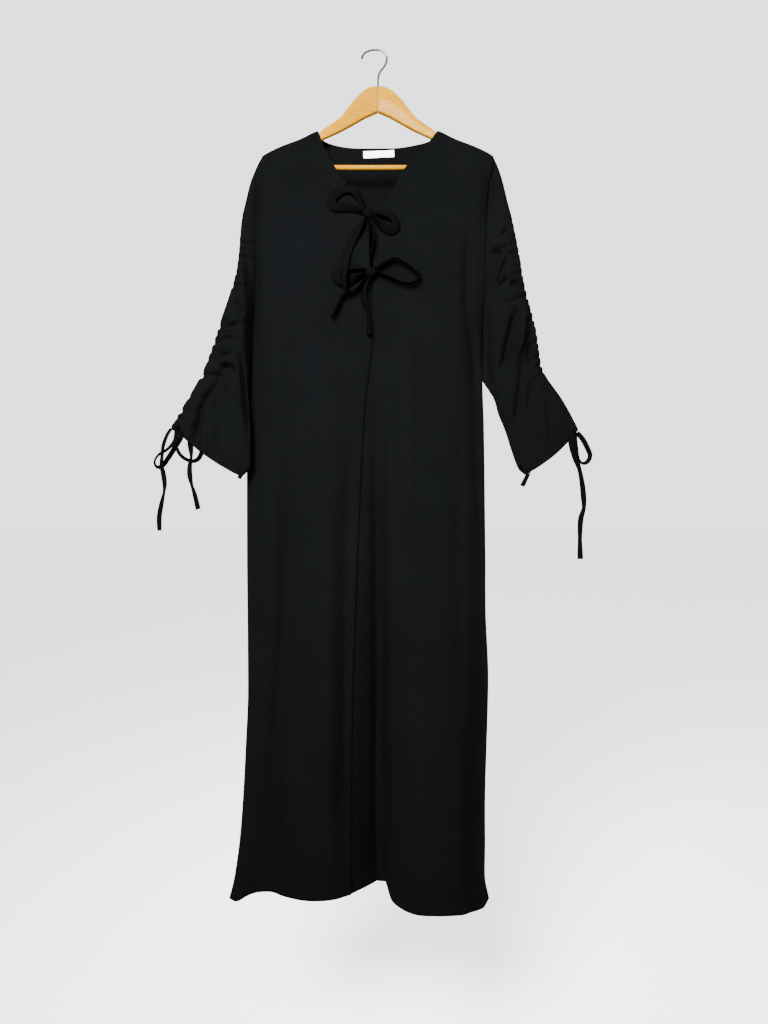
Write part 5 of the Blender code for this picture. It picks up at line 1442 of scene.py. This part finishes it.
def sleeve(side):
    """A tube from the armhole to the cuff. A ring runs from the outside down the front and up behind."""
    rows = LEFT_SLEEVE if side < 0 else RIGHT_SLEEVE
    gathers = LEFT_GATHERS if side < 0 else RIGHT_GATHERS
    creases = LEFT_CREASES if side < 0 else RIGHT_CREASES
    edge = LEFT_EDGE if side < 0 else RIGHT_EDGE
    drops = stepped([row.drop for row in ARMHOLE], SLEEVE_STEP)
    behind_drops = stepped([row.drop for row in ARMHOLE], SLEEVE_BEHIND_STEP)
    half, around = len(drops) - 1, len(drops) + len(behind_drops) - 2

    def place(column, row):
        t = row / SLEEVE_RINGS
        front = column <= half
        way = -1 if front else 1
        drop = drops[column] if front else behind_drops[around - column]
        share = mixed(drop / ARMHOLE[-1].drop, read(ARMHOLE, drop, "share"), eased(t / RING_BLEND))
        outer, inner = ring_ends(rows, t)
        spot = outer.lerp(inner, share)
        across = math.sqrt(max(1 - (2 * share - 1) ** 2, 0.0))
        inside = min(across * 2, 1.0)
        depth = mixed(read(rows, t, "outer_y"), read(rows, t, "inner_y"), share)
        depth += way * read(rows, t, "half_depth") * across
        if front:
            depth += crease_depth(spot.x, spot.y, creases) * inside
        else:
            behind = crease_depth(spot.x + side * BEHIND_SHIFT.x, spot.y + BEHIND_SHIFT.down, creases)
            depth -= behind * BEHIND_SHARE * inside
        depth += waves(spot.x, spot.y, SLEEVE_WAVE_PLACE * way, SLEEVE_WAVES) * across
        if t < EDGE_BLEND:
            blend = eased(t / EDGE_BLEND)
            z = -ARMHOLE_TOP_DOWN - drop
            spot += (Vector((side_x(z, side), z)) - first_ring(rows, drop)) * (1 - blend)
            depth = mixed(armhole_depth(drop, way, side), depth, blend)
        if front:
            depth += drawn_in(spot.x, spot.y, side)
        outward = (outer - inner).normalized()
        cuffward = Vector((side * outward.y, -side * outward.x))
        bow = CUFF_BOW * eased((t - CUFF_BOW_FROM) / (1 - CUFF_BOW_FROM)) * across**2
        spot += cuffward * bow
        inward = max(side * (read(edge, -spot.y, "x") - spot.x), 0.0)
        notch, trough = gathered(-spot.y, inward, gathers)
        spot -= outward * notch
        depth -= way * trough * inside
        return Vector((spot.x, depth, spot.y))

    name = f"sleeve_{SIDE_NAMES[side]}"
    return cloth_piece(name, grid_mesh(name, around, SLEEVE_RINGS, place, closed=True), CUTS[name])


def cloth_tree(*names):
    """The cloth's middle surfaces, to ask where they lie."""
    points, faces = [], []
    for name in names:
        mesh = bpy.data.objects[f"{name}_cloth"].data
        first = len(points)
        points += [vert.co.copy() for vert in mesh.vertices]
        faces += [[first + k for k in face.vertices] for face in mesh.polygons]
    return BVHTree.FromPolygons(points, faces)


def cloth_face(tree, x, z, reach=0.0):
    """Depth of the face that the viewer sees, at its foremost within that reach to either side."""
    found = []
    for spot in (x - reach, x, x + reach):
        hit = tree.ray_cast(Vector((spot, VIEWER_Y, z)), Vector((0, 1, 0)))[0]
        if hit is not None:
            found.append(hit.y - settings().cloth_wall / 2)
    return min(found) if found else None


def stitches(name, line, tree, way=1):
    """Stitches on the cloth along a line of x and z points, on its front face (1) or its back face (-1)."""
    s = settings()
    count = max(round(line_length([Vector(p) for p in line]) / (s.stitch * STITCH_PITCH)), 2)
    points = []
    for x, z in (tuple(p)[:2] for p in smooth_path([(*p, 0.0) for p in line], count)):
        hit = tree.ray_cast(Vector((x, VIEWER_Y * way, z)), Vector((0, way, 0)))[0]
        if hit is not None:
            points.append(Vector((x, hit.y - way * s.cloth_wall / 2, z)))
    bm = bmesh.new()
    for a, b in zip(points, points[1:]):
        if (b - a).length > STITCH_SKIP * s.stitch:
            continue
        turn = (b - a).to_track_quat("X", "Z").to_matrix().to_4x4()
        size = Matrix.Diagonal((s.stitch / 2, THREAD_RADIUS, THREAD_RADIUS, 1.0))
        place = Matrix.Translation((a + b) / 2) @ turn @ size
        bmesh.ops.create_uvsphere(bm, u_segments=6, v_segments=4, radius=1.0, matrix=place)
    return add_piece(name, mesh_from(name, bm), "black_thread", "crepe", [])


def neck_label():
    """A blank woven label, whose ends are turned under and stitched."""
    tree = cloth_tree("back")
    turn = math.radians(LABEL_TILT_DEG)
    width = LABEL_RIGHT - LABEL_LEFT

    def place(column, row):
        u, v = column / LABEL_COLUMNS, row / LABEL_ROWS
        along, drop = width * u, LABEL_DROP * v
        x = LABEL_LEFT + along * math.cos(turn) - drop * math.sin(turn)
        z = -LABEL_TOP_DOWN - along * math.sin(turn) - drop * math.cos(turn)
        ends = min(u, 1 - u) * width
        lift = LABEL_END_LIFT * eased((LABEL_END - ends) / LABEL_END_RUN)
        lift -= LABEL_STITCH_DIP * math.exp(-(((ends - LABEL_STITCH_AT) / LABEL_STITCH_HALF) ** 2))
        lift += LABEL_CROWN * math.sin(math.pi * u) * v
        return Vector((x, cloth_face(tree, x, z) - SEAM_GAP - LABEL_THICK / 2 - lift, z))

    mesh = grid_mesh("label_cloth", LABEL_COLUMNS, LABEL_ROWS, place)
    obj = add_piece("label_cloth", mesh, "white_label", "label", ["neck_label"])
    add_wall(obj, LABEL_THICK)
    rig.sheet(obj, flat=(width, LABEL_DROP), held="laid", rests_on=["back_cloth"])


def knot_centre(row, face):
    """Where a knot lies on the face at that depth."""
    return Vector((row.x, face - SEAM_GAP - row.half_y, -row.down))


def knot(name, row, centre, node):
    """A knot: one turn of tape over the rest, with the creases where the tape goes in."""
    bm = bmesh.new()
    bmesh.ops.create_uvsphere(bm, u_segments=KNOT_AROUND, v_segments=KNOT_RINGS, radius=1.0)
    for vert in bm.verts:
        way = vert.co.normalized()
        squared = sum(abs(c) ** KNOT_SQUARE for c in way) ** (-1 / KNOT_SQUARE)
        off_wrap = abs(way.x + WRAP_SLANT * way.z)
        over = WRAP_STAND * (1 - eased((off_wrap - WRAP_HALF) / WRAP_EDGE))
        crease = -WRAP_CREASE * math.exp(-(((off_wrap - WRAP_CREASE_AT) / WRAP_CREASE_HALF) ** 2))
        pleats = PLEAT * math.sin(PLEATS_DOWN * way.z + PLEATS_ACROSS * way.x)
        pleats *= eased((abs(way.x) - PLEAT_FROM) / PLEAT_RUN)
        spot = way * squared * (KNOT_BODY + over + crease + pleats)
        vert.co = centre + Vector((spot.x * row.half_x, spot.y * row.half_y, spot.z * row.half_z))
    return add_piece(name, mesh_from(name, bm), "black_tape", "tape", [node])


def knot_surface(row, centre, way):
    """The point just outside a knot in that direction."""
    way = way.normalized()
    share = Vector((way.x / row.half_x, way.y / row.half_y, way.z / row.half_z))
    return centre + way * (1 / share.length)


def tape(name, rows, width, tied, centre, face, ends, columns, wall, open_up=1.0):
    """A tape through its rows, turned by that share of their turns, as an object with its middle line."""
    line = []
    for row in rows:
        x, z, turn = centre.x + row.right, centre.z + row.up, math.radians(row.turn)
        stand = width / 2 * abs(math.sin(turn)) + wall / 2 * abs(math.cos(turn))
        line.append([x, z, face(x, z) - SEAM_GAP - row.off - stand, turn * open_up])
    for held, i in zip(ends, (0, -1)):
        if held:
            spot = knot_surface(tied, centre, Vector((rows[i].right, 0, rows[i].up)))
            line[i][:3] = spot.x, spot.z, spot.y
    steps = max(round(line_length([Vector(spot[:3]) for spot in line]) / TAPE_STEP), TAPE_STEPS_LEAST)
    points = smooth_path(line, steps)

    def place(column, step):
        x, z, y, turn = points[step]
        ahead = points[min(step + 1, steps)] - points[max(step - 1, 0)]
        sideways = Vector((-ahead.y, 0, ahead.x)).normalized()
        near = Vector((0, -1, 0))
        across = 2 * column / columns - 1
        broad = sideways * math.cos(turn) + near * math.sin(turn)
        out = near * math.cos(turn) - sideways * math.sin(turn)
        ripple = TAPE_RIPPLE * math.sin(step * TAPE_STEP / TAPE_RIPPLE_RUN + 2 * across)
        spot = Vector((x, y, z)) + broad * across * width / 2
        return spot + out * width * (TAPE_CUP * (1 - across * across) + ripple * abs(across) ** 3)

    obj = add_piece(f"{name}_strip", grid_mesh(name, columns, steps, place), "black_tape", "tape", [name])
    add_wall(obj, wall)
    middle = [place(columns // 2, step) for step in range(steps + 1)]
    return obj, middle


def front_bow(name, row, tree, tapes):
    """A bow on the fronts: its knot, two loops and two tails."""
    width = settings().bow_tape
    centre = knot_centre(row, cloth_face(tree, row.x, -row.down, row.half_x))
    knot(f"{name}_knot_wrap", row, centre, f"{name}_knot")

    def face(x, z):
        return cloth_face(tree, x, z, width / 2) or centre.y + row.half_y

    for part, rows in tapes.items():
        ends = (True, "loop" in part)
        obj, middle = tape(
            f"{name}_{part}", rows, width, row, centre, face, ends, BOW_COLUMNS, settings().tape_wall)
        held = "folded" if "loop" in part else "hung"
        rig.sheet(obj, flat=(width, line_length(middle)), held=held, rests_on=[f"{name}_knot_wrap"])


def cuff_centre(row, tree):
    """Where a knot rests when it is brought up to the cuff's edge from in front."""
    reach = max(row.half_x, row.half_y, row.half_z) + CUFF_CLEAR + SEAM_GAP
    spots = [Vector((row.x, CUFF_FRONT_Y + k * SEAT_STEP, -row.down)) for k in range(SEAT_TRIES)]
    return next(spot for spot in spots if tree.find_nearest(spot)[3] <= reach)


def cuff_ties(name, row, tree, ties):
    """The drawstring's ties at a cuff: their knot, loops and free ends."""
    centre = cuff_centre(row, tree)
    knot(f"{name}_knot_wrap", row, centre, f"{name}_knot")
    width = settings().cuff_tape
    behind = centre.y + width / 2 + SEAM_GAP
    for tie, (rows, ends, far_end) in ties.items():
        obj, middle = tape(
            f"{name}_{tie}", rows, width, row, centre, lambda x, z: behind, ends, TIE_COLUMNS,
            settings().tie_wall, TIE_OPEN[tie])
        if far_end:
            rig.cord(obj, exit=middle[0], length=line_length(middle), diameter=width, far_end=far_end,
                    stiffness="limp", lay="hanging", path=middle)


def hanger_arm(side):
    """One turned and varnished arm, with rounded edges."""
    name = f"hanger_{SIDE_NAMES[side]}"
    stations = finer([row.x for row in HANGER_ARM], ARM_PARTS)
    bm = bmesh.new()
    layer = bm.loops.layers.uv.new("metres")
    rings = []
    for x in stations:
        top, bottom = (-read(HANGER_ARM, x, key) for key in ("top", "bottom"))
        half, tall = (top - bottom) / 2, (top + bottom) / 2
        thick = read(HANGER_ARM, x, "half_thick")
        edge = min(ARM_EDGE, thick * ARM_EDGE_SHARE)
        ring = []
        for k in range(ARM_AROUND):
            angle = math.tau * (k + 0.5) / ARM_AROUND
            y = math.copysign(max(thick - edge, 0.0), math.cos(angle)) + edge * math.cos(angle)
            z = math.copysign(max(half - edge, 0.0), math.sin(angle)) + edge * math.sin(angle)
            ring.append(bm.verts.new((side * x, arm_y(x) + y, tall + z)))
        rings.append(ring)
    for a, b, x_a, x_b in zip(rings, rings[1:], stations, stations[1:]):
        for k in range(ARM_AROUND):
            after = (k + 1) % ARM_AROUND
            face = bm.faces.new((a[k], a[after], b[after], b[k]))
            for loop in face.loops:
                run = x_a if loop.vert in (a[k], a[after]) else x_b
                loop[layer].uv = loop.vert.co.z + loop.vert.co.y, run + side * ARM_GRAIN_APART
    bm.faces.new(rings[0])
    bm.faces.new(rings[-1])
    bmesh.ops.recalc_face_normals(bm, faces=bm.faces)
    return add_piece(f"{name}_wood", mesh_from(name, bm), "varnished_wood", "wood", [name])


def trouser_bar():
    """The round wooden bar between the arms' ends."""
    bm = bmesh.new()
    layer = bm.loops.layers.uv.new("metres")
    lying = Matrix.Rotation(math.pi / 2, 4, "Y")
    place = Matrix.Translation((0, arm_y(BAR_HALF), -BAR_DOWN))
    bmesh.ops.create_cone(bm, cap_ends=True, segments=BAR_AROUND, radius1=BAR_RADIUS, radius2=BAR_RADIUS,
                          depth=2 * BAR_HALF, matrix=place @ lying)
    for face in bm.faces:
        for loop in face.loops:
            loop[layer].uv = loop.vert.co.z * BAR_GRAIN_STRETCH, loop.vert.co.x
    return add_piece("hanger_bar_wood", mesh_from("bar", bm), "varnished_wood", "wood", ["hanger_bar"])


def wire_hook():
    """The bent wire hook, with a rounded end."""
    points = smooth_path([(row.x, 0.0, row.z) for row in HOOK], HOOK_STEPS)
    curve = bpy.data.curves.new("hook", "CURVE")
    curve.dimensions = "3D"
    curve.bevel_depth = WIRE / 2
    curve.bevel_resolution = 6
    curve.use_fill_caps = True
    spline = curve.splines.new("POLY")
    spline.points.add(len(points) - 1)
    for k, (point, spot) in enumerate(zip(spline.points, points)):
        point.co = (*spot, 1.0)
        point.radius = HOOK_TIP[k] if k < len(HOOK_TIP) else 1.0
    return add_piece("hook_wire", curve, "chromed_wire", "wire", ["hanger_hook"])


def channel_line(side):
    """x and z points along the sleeve's outer edge, set in from it by the drawstring channel's width."""
    rows = LEFT_SLEEVE if side < 0 else RIGHT_SLEEVE
    points = []
    for k in range(CHANNEL_STEPS + 1):
        t = mixed(CHANNEL_FROM, CHANNEL_TO, k / CHANNEL_STEPS)
        outer, inner = ring_ends(rows, t)
        points.append(tuple(outer + (inner - outer).normalized() * CHANNEL_WIDTH))
    return points


class KIMONO_OT_body(bpy.types.Operator):
    """Builds the back and the two front panels"""

    bl_idname = "kimono.body"
    bl_label = "Build the body"

    def execute(self, context):
        back_panel()
        front_panel(-1)
        front_panel(1)
        return {"FINISHED"}


class KIMONO_OT_sleeves(bpy.types.Operator):
    """Builds the two ruched sleeves"""

    bl_idname = "kimono.sleeves"
    bl_label = "Build the sleeves"

    def execute(self, context):
        sleeve(-1)
        sleeve(1)
        return {"FINISHED"}


class KIMONO_OT_label(bpy.types.Operator):
    """Builds the blank neck label"""

    bl_idname = "kimono.label"
    bl_label = "Build the label"

    def execute(self, context):
        neck_label()
        return {"FINISHED"}


class KIMONO_OT_stitching(bpy.types.Operator):
    """Sews the hems and the drawstring channels"""

    bl_idname = "kimono.stitching"
    bl_label = "Sew the seams"

    def execute(self, context):
        turn = settings().hem_turn
        left, right, back = cloth_tree("front_left"), cloth_tree("front_right"), cloth_tree("back")
        xs = [mixed(HEM_FROM, HEM_TO, k / HEM_STEPS) for k in range(HEM_STEPS + 1)]
        hem = [(x, -read(FRONT_HEM, x, "down") + turn) for x in xs]
        stitches("hem_stitches_left", [p for p in hem if p[0] < HEM_SPLIT_X], left)
        stitches("hem_stitches_right", [p for p in hem if p[0] > HEM_SPLIT_X], right)
        xs = [mixed(BACK_HEM_FROM, BACK_HEM_TO, k / BACK_HEM_STEPS) for k in range(BACK_HEM_STEPS + 1)]
        behind = [(x, -SIDE_HEM_DOWN + turn + BACK_HEM_LIFT) for x in xs]
        stitches("hem_stitches_back", behind, back, way=-1)
        for side, name in SIDE_NAMES.items():
            tree = cloth_tree(f"sleeve_{name}")
            stitches(f"channel_stitches_{name}", channel_line(side), tree)
            stitches(f"channel_stitches_{name}_behind", channel_line(side), tree, way=-1)
        return {"FINISHED"}


class KIMONO_OT_bows(bpy.types.Operator):
    """Ties the two bows on the front"""

    bl_idname = "kimono.bows"
    bl_label = "Tie the bows"

    def execute(self, context):
        tree = cloth_tree("front_left", "front_right")
        front_bow("upper_bow", UPPER_KNOT, tree, {
            "loop_left": UPPER_LEFT_LOOP, "loop_right": UPPER_RIGHT_LOOP,
            "tail_left": UPPER_LEFT_TAIL, "tail_right": UPPER_RIGHT_TAIL,
        })
        front_bow("lower_bow", LOWER_KNOT, tree, {
            "loop_left": LOWER_LEFT_LOOP, "loop_right": LOWER_RIGHT_LOOP,
            "tail_left": LOWER_LEFT_TAIL, "tail_right": LOWER_RIGHT_TAIL,
        })
        return {"FINISHED"}


class KIMONO_OT_cuff_ties(bpy.types.Operator):
    """Ties the drawstrings at the cuffs"""

    bl_idname = "kimono.cuff_ties"
    bl_label = "Tie the cuffs"

    def execute(self, context):
        tree = cloth_tree("sleeve_left")
        cuff_ties("left_cuff", LEFT_CUFF_KNOT, tree, {
            "strand": (LEFT_CUFF_STRAND, (True, False), "bare"),
            "loop": (LEFT_CUFF_LOOP, (True, True), "object"),
            "drawn_loop": (LEFT_CUFF_DRAWN_LOOP, (False, False), "object"),
            "tail": (LEFT_CUFF_TAIL, (False, False), "bare"),
        })
        cuff_ties("left_corner", LEFT_CORNER_KNOT, tree, {})
        tree = cloth_tree("sleeve_right")
        cuff_ties("right_cuff", RIGHT_CUFF_KNOT, tree, {
            "loop": (RIGHT_CUFF_LOOP, (True, True), "object"),
            "tail": (RIGHT_CUFF_TAIL, (True, False), "bare"),
        })
        cuff_ties("right_corner", RIGHT_CORNER_KNOT, tree, {
            "end": (RIGHT_CORNER_END, (True, False), None),
            "loop": (RIGHT_CORNER_LOOP, (True, False), None),
        })
        return {"FINISHED"}


class KIMONO_OT_hanger(bpy.types.Operator):
    """Builds the wooden hanger and its hook"""

    bl_idname = "kimono.hanger"
    bl_label = "Build the hanger"

    def execute(self, context):
        hanger_arm(-1)
        hanger_arm(1)
        trouser_bar()
        wire_hook()
        return {"FINISHED"}


class KIMONO_OT_stage(bpy.types.Operator):
    """Adds the floor, lights and camera"""

    bl_idname = "kimono.stage"
    bl_label = "Set the stage"

    def execute(self, context):
        bm = bmesh.new()
        bmesh.ops.create_grid(bm, x_segments=1, y_segments=1, size=FLOOR_HALF,
                              matrix=Matrix.Translation((0, 0, FLOOR_Z)))
        mesh = mesh_from("floor", bm)
        made, _, shader = blank_material("pale_floor", Roughness=0.7)
        shader.inputs["Base Color"].default_value = (*settings().pale, 1.0)
        mesh.materials.append(made)
        floor = bpy.data.objects.new("floor", mesh)
        context.scene.collection.objects.link(floor)
        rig.stage(floor)

        world = bpy.data.worlds.new("pale_air")
        world.use_nodes = True
        air = world.node_tree.nodes["Background"]
        air.inputs["Color"].default_value = (*settings().pale, 1.0)
        air.inputs["Strength"].default_value = AIR_STRENGTH
        context.scene.world = world

        for row in LAMPS:
            light = bpy.data.lights.new(row.name, "AREA")
            light.spread = math.radians(row.spread_deg)
            light.size = row.size
            light.energy = row.power
            lamp = bpy.data.objects.new(row.name, light)
            lamp.location = row.spot
            aim = Vector(row.aim) - Vector(row.spot)
            lamp.rotation_euler = aim.to_track_quat("-Z", "Y").to_euler()
            context.scene.collection.objects.link(lamp)

        camera = bpy.data.cameras.new("camera")
        camera.sensor_fit = "VERTICAL"
        camera.sensor_height = CAMERA_SENSOR
        camera.sensor_width = CAMERA_SENSOR
        camera.lens = CAMERA_LENS
        eye = bpy.data.objects.new("camera", camera)
        eye.location = CAMERA_SPOT
        eye.rotation_euler = (math.pi / 2, 0, 0)
        context.scene.collection.objects.link(eye)
        context.scene.camera = eye
        return {"FINISHED"}


class KIMONO_PT_panel(bpy.types.Panel):
    """The kimono's sizes and steps"""

    bl_label = "Kimono"
    bl_idname = "KIMONO_PT_panel"
    bl_space_type = "VIEW_3D"
    bl_region_type = "UI"
    bl_category = "Kimono"

    def draw(self, context):
        for name in KimonoSettings.__annotations__:
            self.layout.prop(context.scene.kimono, name)
        for step in STEPS:
            self.layout.operator(step.bl_idname)


STEPS = (
    KIMONO_OT_stage, KIMONO_OT_body, KIMONO_OT_sleeves, KIMONO_OT_label, KIMONO_OT_stitching,
    KIMONO_OT_bows, KIMONO_OT_cuff_ties, KIMONO_OT_hanger,
)
CLASSES = (KimonoSettings, *STEPS, KIMONO_PT_panel)


def register():
    """Adds the classes, and the settings to each scene."""
    for cls in CLASSES:
        bpy.utils.register_class(cls)
    bpy.types.Scene.kimono = PointerProperty(type=KimonoSettings)


def unregister():
    """Takes the settings and the classes away again."""
    del bpy.types.Scene.kimono
    for cls in reversed(CLASSES):
        bpy.utils.unregister_class(cls)


def corners():
    """The lowest and highest corner of the object as it is shown now."""
    low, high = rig.bounds()
    return [list(low), list(high)]


def main():
    """Builds everything in order, and writes the solids' size and the dressed part's."""
    register()
    sizes = {"cad": corners()}
    bpy.ops.kimono.stage()
    bpy.ops.kimono.body()
    bpy.ops.kimono.sleeves()
    bpy.ops.kimono.label()
    bpy.ops.kimono.stitching()
    bpy.ops.kimono.bows()
    bpy.ops.kimono.cuff_ties()
    bpy.ops.kimono.hanger()
    sizes["visual"] = corners()
    with open("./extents.json", "w") as out:
        json.dump(sizes, out)


if __name__ == "__main__":
    main()
